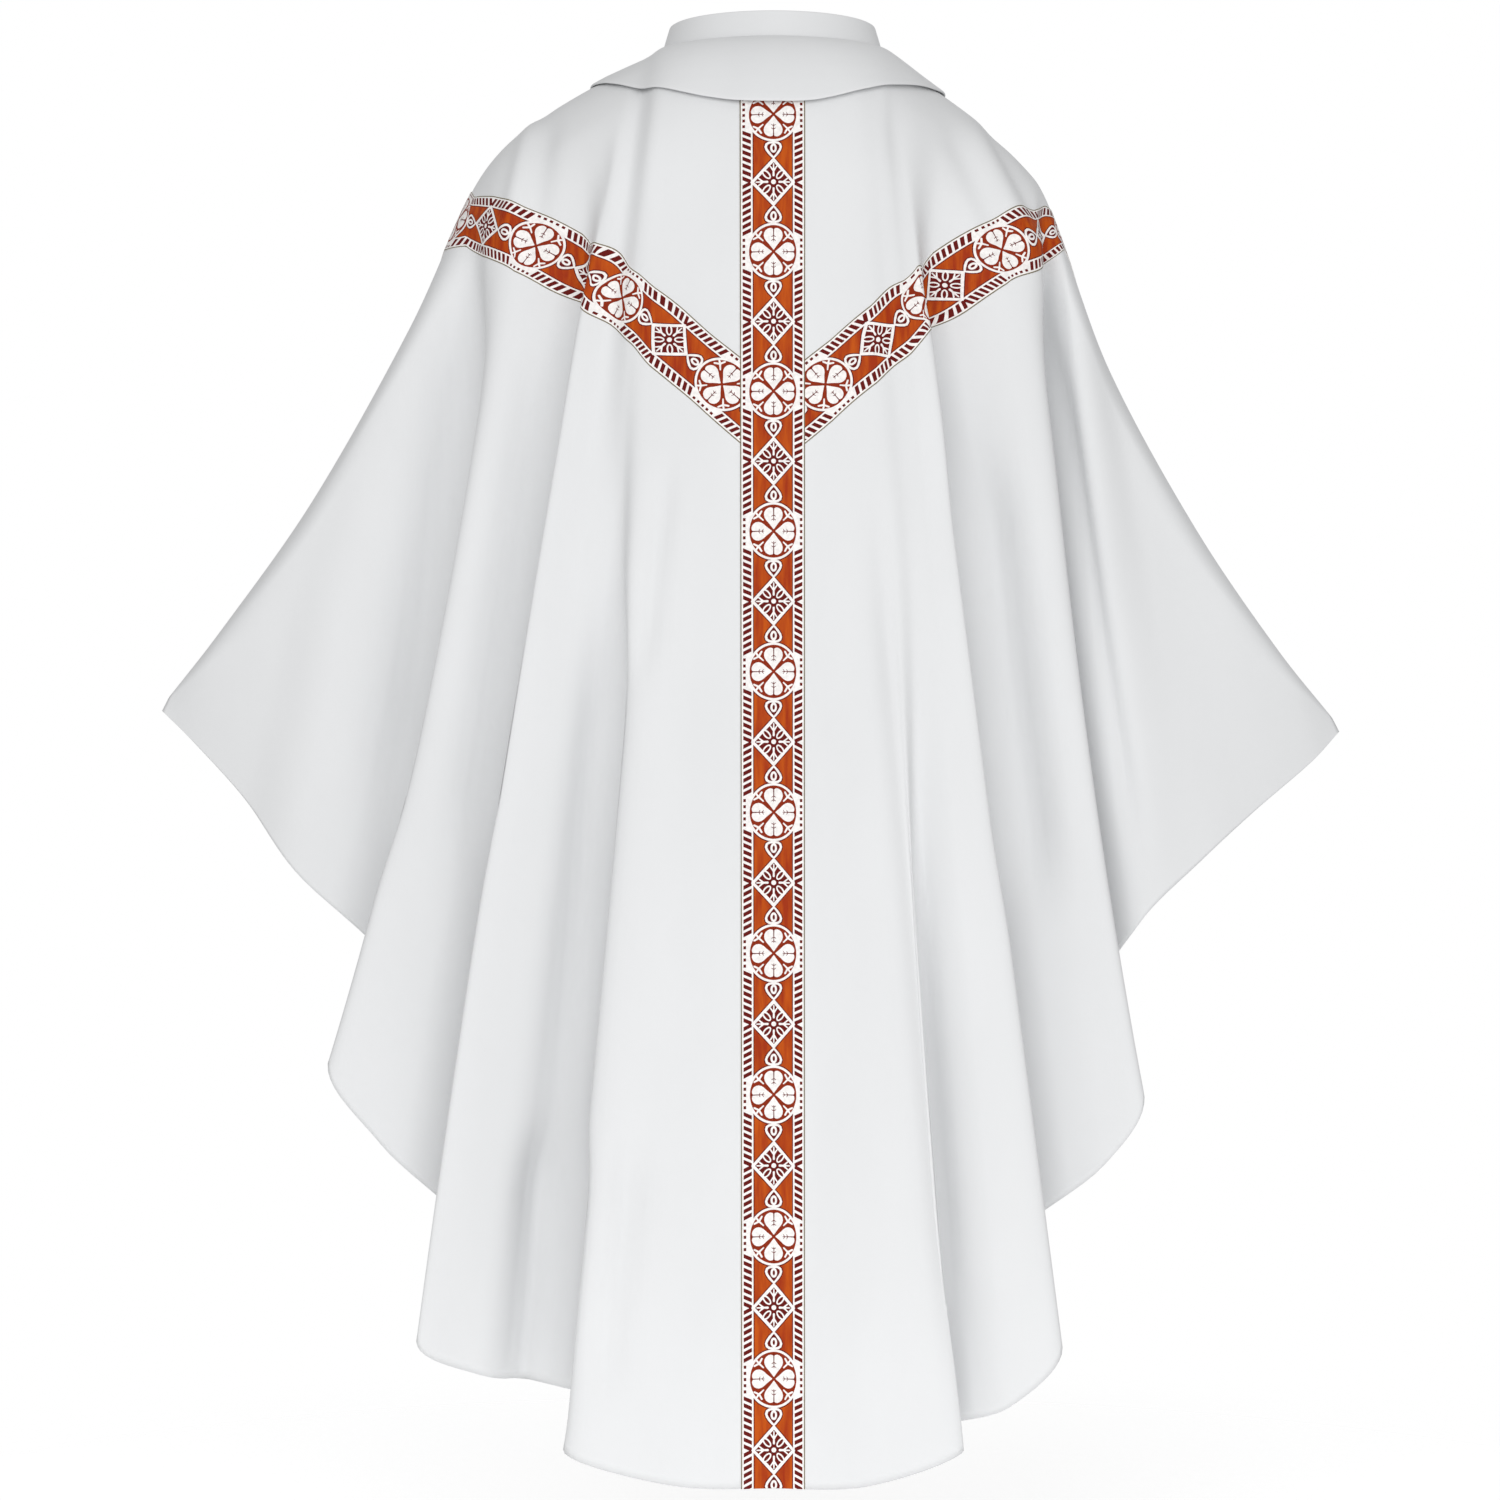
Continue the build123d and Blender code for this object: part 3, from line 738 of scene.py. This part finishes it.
def repeat_shapes():
    """All outlines of one repeat with their paints, each over those before it."""
    end = HALF_REPEAT + 1
    layers = ((SELVEDGE, EDGE), (FACE, WHITE), (BORDER, MAROON), (GROUND, ORANGE))
    shapes = [(box_shape(-half, half, -end, end), paint) for half, paint in layers]
    shapes.append((oval(RING_ACROSS + OUTLINE, RING_ALONG + OUTLINE), MAROON))
    for way in (1, -1):
        shapes.append((teardrop(OUTLINE) * (1, way), MAROON))
        shapes.append((diamond(21.2, 23.8, way * HALF_REPEAT), MAROON))
    shapes += [(box_shape(side * BORDER, side * FACE, -end, end), WHITE) for side in (-1, 1)]
    for side in (-1, 1):
        for way in (-1, 1):
            for number in range(BARS_COUNT):
                at = BARS_FIRST + BARS_APART * number
                bar = [(BARS_INNER, at - BARS_OFFSET), (BARS_INNER, at + BARS_LEAN)]
                bar += [(BARS_OUTER, at + BARS_OFFSET), (BARS_OUTER, at - BARS_LEAN)]
                shapes.append((np.array(bar) * (side, way), MAROON))
        for at in DOTS_ALONG:
            dot = box_shape(side * DOTS_INNER, side * BARS_OUTER, at - DOTS_HALF, at + DOTS_HALF)
            shapes.append((dot, MAROON))
    for way in (1, -1):
        drop = [(teardrop(0.0), WHITE), (teardrop(-2.2), MAROON)]
        drop.append((oval(3.0, 4.4, (0, DROP_MIDDLE), 20), WHITE))
        drop.append((oval(1.1, 2.3, (0, DROP_MIDDLE), 14), MAROON))
        shapes += [(shape * (1, way), paint) for shape, paint in drop]
        shapes += diamond_shapes(way * HALF_REPEAT)
    return shapes + circle_shapes()


def inside(points, shape):
    """Which points lie within a closed outline."""
    found = np.zeros(len(points), bool)
    for (x1, y1), (x2, y2) in zip(shape, np.roll(shape, -1, axis=0)):
        crosses = (y1 > points[:, 1]) != (y2 > points[:, 1])
        if y1 != y2:
            found ^= crosses & (points[:, 0] < (x2 - x1) * (points[:, 1] - y1) / (y2 - y1) + x1)
    return found


def finer(shape, longest):
    """The same outline with its long edges divided."""
    shape, points = np.asarray(shape, float), []
    for start, end in zip(shape, np.roll(shape, -1, axis=0)):
        count = max(int(np.ceil(np.linalg.norm(end - start) / longest)), 1)
        points += [tuple(start + (end - start) * k / count) for k in range(count)]
    return points


def repeat_mesh():
    """One repeat as flat triangles, with a paint for each: points (across, along), triangles, paints."""
    shapes = repeat_shapes()
    points, edges = [], []
    outlines = [shape for shape, _ in shapes] + [box_shape(-HALF_BAND, HALF_BAND, -HALF_REPEAT, HALF_REPEAT)]
    for outline in (finer(shape, PATTERN_STEP) for shape in outlines):
        start = len(points)
        points += outline
        edges += [(start + i, start + (i + 1) % len(outline)) for i in range(len(outline))]
    across = np.linspace(-HALF_BAND, HALF_BAND, int(2 * HALF_BAND / PATTERN_STEP) + 1)
    along = np.linspace(-HALF_REPEAT, HALF_REPEAT, int(2 * HALF_REPEAT / PATTERN_STEP) + 1)
    points += [(x, y) for x in across for y in along]
    found = delaunay_2d_cdt([Vector(point) for point in points], edges, [], 0, 1e-3, False)
    places = np.array([tuple(point) for point in found[0]])
    triangles = np.array([face for face in found[2] if len(face) == 3])
    centres = places[triangles].mean(axis=1)
    keep = (np.abs(centres[:, 0]) < HALF_BAND) & (np.abs(centres[:, 1]) < HALF_REPEAT)
    triangles, centres = triangles[keep], centres[keep]
    paints = np.zeros(len(triangles), int)
    for shape, paint in shapes:
        paints[inside(centres, shape)] = paint
    return places, triangles, paints


def lay_band(cloth, name, centre, first, sizes, colours, node, keep, lift, flip):
    """Lays woven repeats along a centre line of places on the cloth. first is where circle 0 lies."""
    line = cloth.look(cloth.grid, centre)
    length = lengths_of(line)
    stations = np.arange(0.0, length[-1], STATION)
    centre = np.stack([np.interp(stations, length, centre[:, axis]) for axis in range(2)], 1)
    half = sizes.width / MM / 2
    strip = cloth.strip(centre, half, HALF_STEPS)
    places, triangles, paints = repeat_mesh()
    repeat = sizes.repeat / MM
    scale = np.array((half / HALF_BAND, repeat / 2 / HALF_REPEAT))
    all_points, all_faces, all_paints = [], [], []
    count = 0
    for number in range(int((0 - first) // repeat) - 1, int((stations[-1] - first) // repeat) + 2):
        flat = places * scale + (0, first + number * repeat)
        low, high = flat[triangles][:, :, 1].min(1), flat[triangles][:, :, 1].max(1)
        used = triangles[(high > 0) & (low < stations[-1])]
        if len(used) == 0:
            continue
        all_points.append(flat)
        all_faces.append(used + count)
        all_paints.append(paints[(high > 0) & (low < stations[-1])])
        count += len(flat)
    flat, faces, paint = np.vstack(all_points), np.vstack(all_faces), np.concatenate(all_paints)
    along = np.clip(flat[:, 1] / STATION, 0, len(stations) - 1.001)
    across = np.clip((flat[:, 0] + half) / (2 * half) * 2 * HALF_STEPS, 0, 2 * HALF_STEPS - 0.001)
    i, j = along.astype(int), across.astype(int)
    u, v = (along - i)[:, None], (across - j)[:, None]
    spots = (strip[i, j] * (1 - v) + strip[i, j + 1] * v) * (1 - u) + (
        strip[i + 1, j] * (1 - v) + strip[i + 1, j + 1] * v
    ) * u
    low, high = keep
    within = (spots[:, 1] > low) & (spots[:, 1] < high)
    faces, paint = faces[within[faces].any(axis=1)], paint[within[faces].any(axis=1)]
    spots[:, 1] = np.clip(spots[:, 1], low, high)
    used, back = np.unique(faces, return_inverse=True)
    faces = back.reshape(faces.shape)
    points = cloth.raised(spots[used], lift)
    if flip:
        faces = faces[:, ::-1]
    sides = []
    for column in (0, -1):
        edge = strip[:, column].copy()
        on = (edge[:, 1] > low) & (edge[:, 1] < high)
        edge = edge[on]
        start = len(points)
        points = np.vstack((points, cloth.raised(edge, lift), cloth.raised(edge, 0.0)))
        for k in range(len(edge) - 1):
            sides.append((start + k, start + k + 1, start + k + 1 + len(edge), start + k + len(edge)))
    paint = np.concatenate((paint, np.full(len(sides), WHITE)))
    faces = faces.tolist() + sides
    add_piece(name, points, faces, band_materials(colours), "woven_band", node, paint, weld=2e-5)


def column_centre(cloth, front):
    rows = cloth.grid.shape[1]
    walk = (cloth.seam - 1, -1e-6, -WALK_ACROSS) if front else (cloth.seam, rows - 1e-6, WALK_ACROSS)
    down = np.arange(*walk)
    return np.stack((np.full(len(down), float(cloth.middle)), down), 1)


def arm_centre(cloth, side, front):
    """The middle of a slanting band as places on the cloth, from under the column over the shoulder."""
    path = np.array(BAND_PATH, float)
    rows = cloth.back.shape[1]
    downs = np.arange(0, rows - 1, WALK_DOWN)
    way = -1 if front else 1
    places = []
    limit = len(cloth.grid) - 1
    for across in np.arange(cloth.middle, limit if side > 0 else 0, WALK_ACROSS * side):
        spots = np.stack((np.full(len(downs), across), cloth.seam + way * downs), 1)
        points = cloth.look(cloth.grid, spots)
        out = np.clip(points[:, 0] * side, 0, path[-1, 0])
        over = points[:, 2] + spline(path[:, 0], path[:, 1], out)
        below = np.nonzero(over <= 0)[0]
        if len(below) == 0:
            continue
        if below[0] == 0:
            break
        low = below[0]
        part = over[low - 1] / (over[low - 1] - over[low])
        places.append(spots[low - 1] * (1 - part) + spots[low] * part)
    places = np.array(places)
    slope = (places[-1] - places[-5]) / 4
    more = places[-1] + slope * np.arange(1, 60)[:, None]
    return np.vstack((places, more))


# Operators


def share(context):
    scene = context.scene
    return scene.chasuble_body, scene.chasuble_bands, scene.chasuble_collar, scene.chasuble_colours


class CHASUBLE_OT_body(bpy.types.Operator):
    """Hangs the back and front panels"""

    bl_idname = "chasuble.body"
    bl_label = "Body panels"

    def execute(self, context):
        sizes, _, _, colours = share(context)
        cloth = the_cloth(context)
        for name, grid in (("back_body", cloth.back), ("front_body", cloth.front)):
            points, faces = thick_sheet(grid, 0.0, sizes.cloth / MM)
            node = name.replace("body", "panel")
            add_piece(name, points, faces, [cloth_material(colours)], "body_cloth", node)
        return {"FINISHED"}


class CHASUBLE_OT_bands(bpy.types.Operator):
    """Lays the six woven bands"""

    bl_idname = "chasuble.bands"
    bl_label = "Woven bands"

    def execute(self, context):
        _, sizes, _, colours = share(context)
        cloth = the_cloth(context)
        rows = cloth.grid.shape[1]
        for word, front in (("back", False), ("front", True)):
            below = (0.0, cloth.seam - 1.0) if front else (float(cloth.seam), rows - 1.0)
            keep = (0.0, float(cloth.seam)) if front else below
            centre, lift = column_centre(cloth, front), sizes.lift / MM
            name, first, node = f"{word}_column_band", sizes.first / MM, f"{word}_column_orphrey"
            lay_band(cloth, name, centre, first, sizes, colours, node, below, 2 * lift, front)
            for side, where in ((-1, "left"), (1, "right")):
                centre = arm_centre(cloth, side, front)
                line = cloth.look(cloth.grid, centre)
                first = np.interp(sizes.width / MM / 2, line[:, 0] * side, lengths_of(line))
                first += sizes.arm_first / MM
                name, node = f"{word}_{where}_band", f"{word}_{where}_arm_orphrey"
                lay_band(cloth, name, centre, first, sizes, colours, node, keep, lift, front)
        return {"FINISHED"}


def hem_strip(grid, width, across=6):
    """The strip of a panel just above its hem [across][down]."""
    lines = []
    for column in grid:
        total = lengths_of(column)[-1]
        lines.append(at_lengths(column, np.linspace(total - width, total - HEM_INSET, across)))
    return np.array(lines)


def seam_strip(cloth, side, half, clear_neck, clear_tip):
    """The strip over one shoulder seam, from a little down the back to a little down the front."""
    lines = []
    for column in cloth.grid[::2]:
        out = column[cloth.seam, 0] * side
        if not clear_neck < out < clear_tip:
            continue
        length = lengths_of(column)
        lines.append(at_lengths(column, length[cloth.seam] + np.linspace(-half, half, 9)))
    return np.array(lines)


def closed_ring(lines):
    """Points and faces of lines that each run round a closed outline, joined round the neck."""
    count, many = lines.shape[:2]
    faces = []
    for i in range(count):
        for j in range(many):
            a, b = i * many + j, i * many + (j + 1) % many
            k = (i + 1) % count * many
            faces.append((a, b, k + (j + 1) % many, k + j))
    return lines.reshape(-1, 3), faces


def ring_points(profile, sizes, count=160):
    """A closed outline (inset, height) swept round the neck oval, which draws in as it rises."""
    inset, height = np.array(profile).T
    lean = sizes.lean / sizes.height * height + inset
    side, deep = STAND_HIGH.x / MM - lean, STAND_HIGH.y / MM - lean
    lines = [np.stack((side * np.cos(turn), deep * np.sin(turn), height), 1) for turn in turns_round(count)]
    return closed_ring(np.array(lines))


def ring_out(cloth, drop, turns):
    """Distance of the body cloth from the neck's axis at one height, in each direction."""
    found = []
    for panel in (cloth.back, cloth.front):
        low = (-panel[:, :, 2] > drop).argmax(axis=1)
        for column, index in zip(panel, low):
            if index > 0:
                part = (drop + column[index - 1, 2]) / (column[index - 1, 2] - column[index, 2])
                point = column[index - 1] * (1 - part) + column[index] * part
                found.append((np.arctan2(point[1], point[0]), np.hypot(point[0], point[1])))
    found = np.array(sorted(found))
    return np.interp(turns, found[:, 0], found[:, 1], period=2 * np.pi)


def fall_lines(cloth, sizes, count=240, rows=22):
    """The turned-down collar as lines from the neck seam out over the body cloth."""
    turns = np.linspace(-np.pi, np.pi, count, endpoint=False)
    outs = np.array([ring_out(cloth, drop, turns) for drop in FALL_DROPS])
    side, deep = STAND_HIGH.x / MM, STAND_HIGH.y / MM
    seam = side * deep / np.hypot(deep * np.cos(turns), side * np.sin(turns)) + FALL_OFF_STAND
    outs = np.vstack((seam, np.maximum(outs, seam + 1.0)))
    for _ in range(3):
        outs = (np.roll(outs, 2, axis=1) + outs * 2 + np.roll(outs, -2, axis=1)) / 4
    drops = np.array([0.0] + FALL_DROPS)
    lines = []
    for index, turn in enumerate(turns):
        radial = outs[:, index]
        points = np.stack((radial * np.cos(turn), radial * np.sin(turn), -drops), 1)
        length = sizes.fall_side / MM - FALL_SHORTER_RIGHT * max(np.cos(turn), 0.0)
        length += (sizes.fall_back - sizes.fall_side) / MM * abs(np.sin(turn)) ** 3
        line = at_lengths(points, np.linspace(0.0, length, rows))
        wave = 1 + sum(share * np.sin(many * turn + phase) for share, many, phase in WAVES)
        flat_share = FLATTEST_LIFT + (1 - FLATTEST_LIFT) * np.sin(turn) ** 2
        edge_lift = sizes.lift / MM * wave * flat_share
        lift = FALL_START + (edge_lift - FALL_START) * np.linspace(0, 1, rows) ** 2
        slope = np.gradient(line, axis=0)
        flat = np.hypot(slope[:, 0], slope[:, 1])
        size = np.maximum(np.hypot(flat, slope[:, 2]), 1e-9)
        line[:, 0] -= lift * slope[:, 2] / size * np.cos(turn)
        line[:, 1] -= lift * slope[:, 2] / size * np.sin(turn)
        line[:, 2] += lift * flat / size
        lines.append(line)
    return np.array(lines)


def ring_normals(grid):
    along = (np.roll(grid, -1, axis=0) - np.roll(grid, 1, axis=0)) / 2
    lean = unit(np.cross(np.gradient(grid, axis=1), along))
    return lean * np.sign(lean[:, :, 2].sum())


class CHASUBLE_OT_hems(bpy.types.Operator):
    """Sews the hem facings and the tapes over the shoulder seams"""

    bl_idname = "chasuble.hems"
    bl_label = "Hems and tapes"

    def execute(self, context):
        sizes, _, _, colours = share(context)
        cloth = the_cloth(context)
        under = -(sizes.cloth / MM + UNDER_GAP)
        for word, grid in (("back", cloth.back), ("front", cloth.front)):
            lean = normals(grid)
            table = np.concatenate((grid, lean), axis=2)
            strip = hem_strip(table, sizes.hem_width / MM)
            points, faces = thick_sheet(strip[:, :, :3], under, FACING_THICK, strip[:, :, 3:])
            node = f"{word}_hem_facing"
            add_piece(f"{word}_hem", points, faces, [cloth_material(colours)], "body_cloth", node)
        tape = seam_tape(colours)
        for side, word, reach in ((-1, "left", sizes.left_reach), (1, "right", sizes.right_reach)):
            ends = NECK_SIDE + TAPE_CLEAR_NECK, reach / MM - TAPE_CLEAR_TIP
            strip = seam_strip(cloth, side, sizes.tape_width / MM / 2, *ends)
            points, faces = thick_sheet(strip, under, FACING_THICK, normals(strip))
            node = f"{word}_shoulder_seam_tape"
            add_piece(f"{word}_seam_tape", points, faces, [tape], "seam_tape", node)
        return {"FINISHED"}


class CHASUBLE_OT_collar(bpy.types.Operator):
    """Makes the stand in its layers and the turned-down fall"""

    bl_idname = "chasuble.collar"
    bl_label = "Collar"

    def execute(self, context):
        body, _, sizes, colours = share(context)
        cloth = the_cloth(context)
        white = cloth_material(colours)
        top = sizes.height / MM
        # Outlines of the stand's layers as (inset, height), with the seam's groove and rounded top edges
        outer = [(0, 0.2), (0, 2.2), (-0.35, 3.0), (0, 3.8), (0, top - 1.4), (0.25, top - 0.5), (0.9, top)]
        outer += [(1.4, top - 0.1), (1.3, top - 0.8), (1.0, top - 1.6), (1.0, 0.2)]
        middle = [(1.05, 0.2), (1.05, top - 1.8), (1.3, top - 1.2), (1.6, top - 1.8), (1.75, 0.2)]
        inner = [(2.8, 0.2), (2.8, top - 1.4), (2.5, top - 0.5), (1.9, top), (1.45, top - 0.1)]
        inner += [(1.55, top - 0.8), (1.8, top - 1.6), (1.8, 0.2)]
        low = -body.tape_width / MM
        tape = [(2.6, 0.1), (2.6, low), (1.9, low), (1.9, 0.1)]
        lining = plain_thread("interlining", LINING, 0.9)
        for name, profile, material, slot, node in (
            ("collar_stand_outer", outer, white, "body_cloth", "collar_stand"),
            ("collar_stand_middle", middle, lining, "interlining", "collar_stand_interlining"),
            ("collar_stand_inner", inner, white, "body_cloth", "collar_stand_facing"),
            ("neck_tape", tape, seam_tape(colours), "seam_tape", "neck_seam_tape"),
        ):
            add_piece(name, *ring_points(profile, sizes), [material], slot, node)

        lines = fall_lines(cloth, sizes)
        lean = ring_normals(lines)
        out = unit(np.gradient(lines, axis=1)[:, -1])
        edge, up = lines[:, -1], lean[:, -1]
        rolled = []
        for turn in np.linspace(0, np.pi, 9)[:-1]:
            rolled.append(edge + up * (ROLL_RISE * (1 + np.cos(turn))) + out * (ROLL_OUT * np.sin(turn)))
        height = 2 * ROLL_RISE * np.linspace(0.3, 1, lines.shape[1])[:, None]
        skin, under_skin = lines + lean * height, lines + lean * (height - PLY)
        upper = np.concatenate((skin[:, :-1], np.stack(rolled, 1), under_skin[:, -2::-1]), axis=1)
        add_piece("collar_fall_upper", *closed_ring(upper), [white], "body_cloth", "collar_fall")
        lower_skin = lines + lean * PLY
        lower = np.concatenate((lower_skin[:, :-1], lines[:, -2::-1]), axis=1)
        add_piece("collar_fall_under", *closed_ring(lower), [white], "body_cloth", "collar_fall_facing")
        return {"FINISHED"}


FLOOR_FADE_START = 0.45  # metres from the middle
FLOOR_GLOW = 0.45
LIGHT_AIM = (0, 0, -0.65)
MAIN_LIGHT, SIDE_LIGHT = (2.4, (-0.7, -3.9, 0.5)), (2.0, (1.3, -3.6, -0.4))  # size and place


def floor_material(stage):
    """A pale floor that fades into the white surround."""
    material, nodes, links, shader = new_material("pale floor", 0.9, 0.0, (0.93, 0.93, 0.93))
    shader.inputs["Emission Color"].default_value = (1, 1, 1, 1)
    shader.inputs["Emission Strength"].default_value = FLOOR_GLOW
    place = nodes.new("ShaderNodeTexCoord")
    reach = add_node(nodes, "ShaderNodeVectorMath", {"operation": "LENGTH"})
    links.new(place.outputs["Object"], reach.inputs[0])
    ends = {
        "From Min": np.hypot(stage.floor, FLOOR_FADE_START),
        "From Max": np.hypot(stage.floor, stage.floor_reach),
        "To Min": 1.0,
        "To Max": 0.0,
    }
    fade = add_node(nodes, "ShaderNodeMapRange", {"interpolation_type": "SMOOTHSTEP"}, **ends)
    links.new(reach.outputs["Value"], fade.inputs["Value"])
    links.new(fade.outputs["Result"], shader.inputs["Alpha"])
    return material


class CHASUBLE_OT_stage(bpy.types.Operator):
    """Sets the floor, lights and camera"""

    bl_idname = "chasuble.stage"
    bl_label = "Stage"

    def execute(self, context):
        scene, stage = context.scene, context.scene.chasuble_stage
        mesh = bpy.data.meshes.new("floor")
        reach = stage.floor_reach
        rim = [(reach * np.cos(turn), reach * np.sin(turn), stage.floor) for turn in turns_round(96)]
        mesh.from_pydata(rim, [], [range(len(rim))])
        floor = bpy.data.objects.new("floor", mesh)
        scene.collection.objects.link(floor)
        mesh.materials.append(floor_material(stage))

        world = bpy.data.worlds.new("white surround")
        world.use_nodes = True
        nodes, links = world.node_tree.nodes, world.node_tree.links
        ground = nodes["Background"]
        ground.inputs["Color"].default_value = (1, 1, 1, 1)
        seen = nodes.new("ShaderNodeLightPath")
        level = add_node(nodes, "ShaderNodeMapRange", **{"To Min": stage.sky, "To Max": 1.0})
        links.new(seen.outputs["Is Camera Ray"], level.inputs["Value"])
        links.new(level.outputs["Result"], ground.inputs["Strength"])
        scene.world = world
        scene.view_settings.view_transform = "Standard"

        for name, power, (size, place) in (
            ("main light", stage.key, MAIN_LIGHT),
            ("side light", stage.side, SIDE_LIGHT),
        ):
            light = bpy.data.lights.new(name, "AREA")
            light.energy, light.size = power, size
            lamp = bpy.data.objects.new(name, light)
            lamp.location = place
            lamp.rotation_euler = (Vector(LIGHT_AIM) - Vector(place)).to_track_quat("-Z", "Y").to_euler()
            scene.collection.objects.link(lamp)

        camera = bpy.data.cameras.new("camera")
        camera.lens, camera.sensor_width = stage.lens, 36.0
        holder = bpy.data.objects.new("camera", camera)
        holder.location = (stage.aside, -stage.distance, stage.height)
        holder.rotation_euler = (np.pi / 2, 0, 0)
        scene.collection.objects.link(holder)
        scene.camera = holder
        return {"FINISHED"}


class CHASUBLE_PT_panel(bpy.types.Panel):
    """Lists the pieces of the chasuble"""

    bl_idname = "CHASUBLE_PT_panel"
    bl_label = "Chasuble"
    bl_space_type = "VIEW_3D"
    bl_region_type = "UI"
    bl_category = "Chasuble"

    def draw(self, context):
        for operator in OPERATORS:
            self.layout.operator(operator.bl_idname)
        for group in GROUPS:
            settings = getattr(context.scene, group)
            for name in names_of(settings):
                self.layout.prop(settings, name)


OPERATORS = (CHASUBLE_OT_body, CHASUBLE_OT_hems, CHASUBLE_OT_collar, CHASUBLE_OT_bands, CHASUBLE_OT_stage)
GROUPS = {
    "chasuble_body": BodySizes,
    "chasuble_bands": BandSizes,
    "chasuble_collar": CollarSizes,
    "chasuble_colours": Colours,
    "chasuble_stage": StageSettings,
}


def register():
    for group, kind in GROUPS.items():
        bpy.utils.register_class(kind)
        setattr(bpy.types.Scene, group, PointerProperty(type=kind))
    for operator in OPERATORS:
        bpy.utils.register_class(operator)
    bpy.utils.register_class(CHASUBLE_PT_panel)


def unregister():
    bpy.utils.unregister_class(CHASUBLE_PT_panel)
    for operator in reversed(OPERATORS):
        bpy.utils.unregister_class(operator)
    for group, kind in reversed(GROUPS.items()):
        delattr(bpy.types.Scene, group)
        bpy.utils.unregister_class(kind)


def declare_sheets():
    """Gathers each panel's trims into a list; nothing further is done with them."""
    piece = bpy.data.objects
    for word in ("back", "front"):
        trims = [piece[f"{word}_{name}"] for name in ("hem", "column_band", "left_band", "right_band")]
        if word == "back":
            trims += [piece["left_seam_tape"], piece["right_seam_tape"], piece["neck_tape"]]


def main():
    register()
    for operator in OPERATORS:
        group, name = operator.bl_idname.split(".")
        getattr(getattr(bpy.ops, group), name)()
    declare_sheets()


if __name__ == "__main__":
    main()
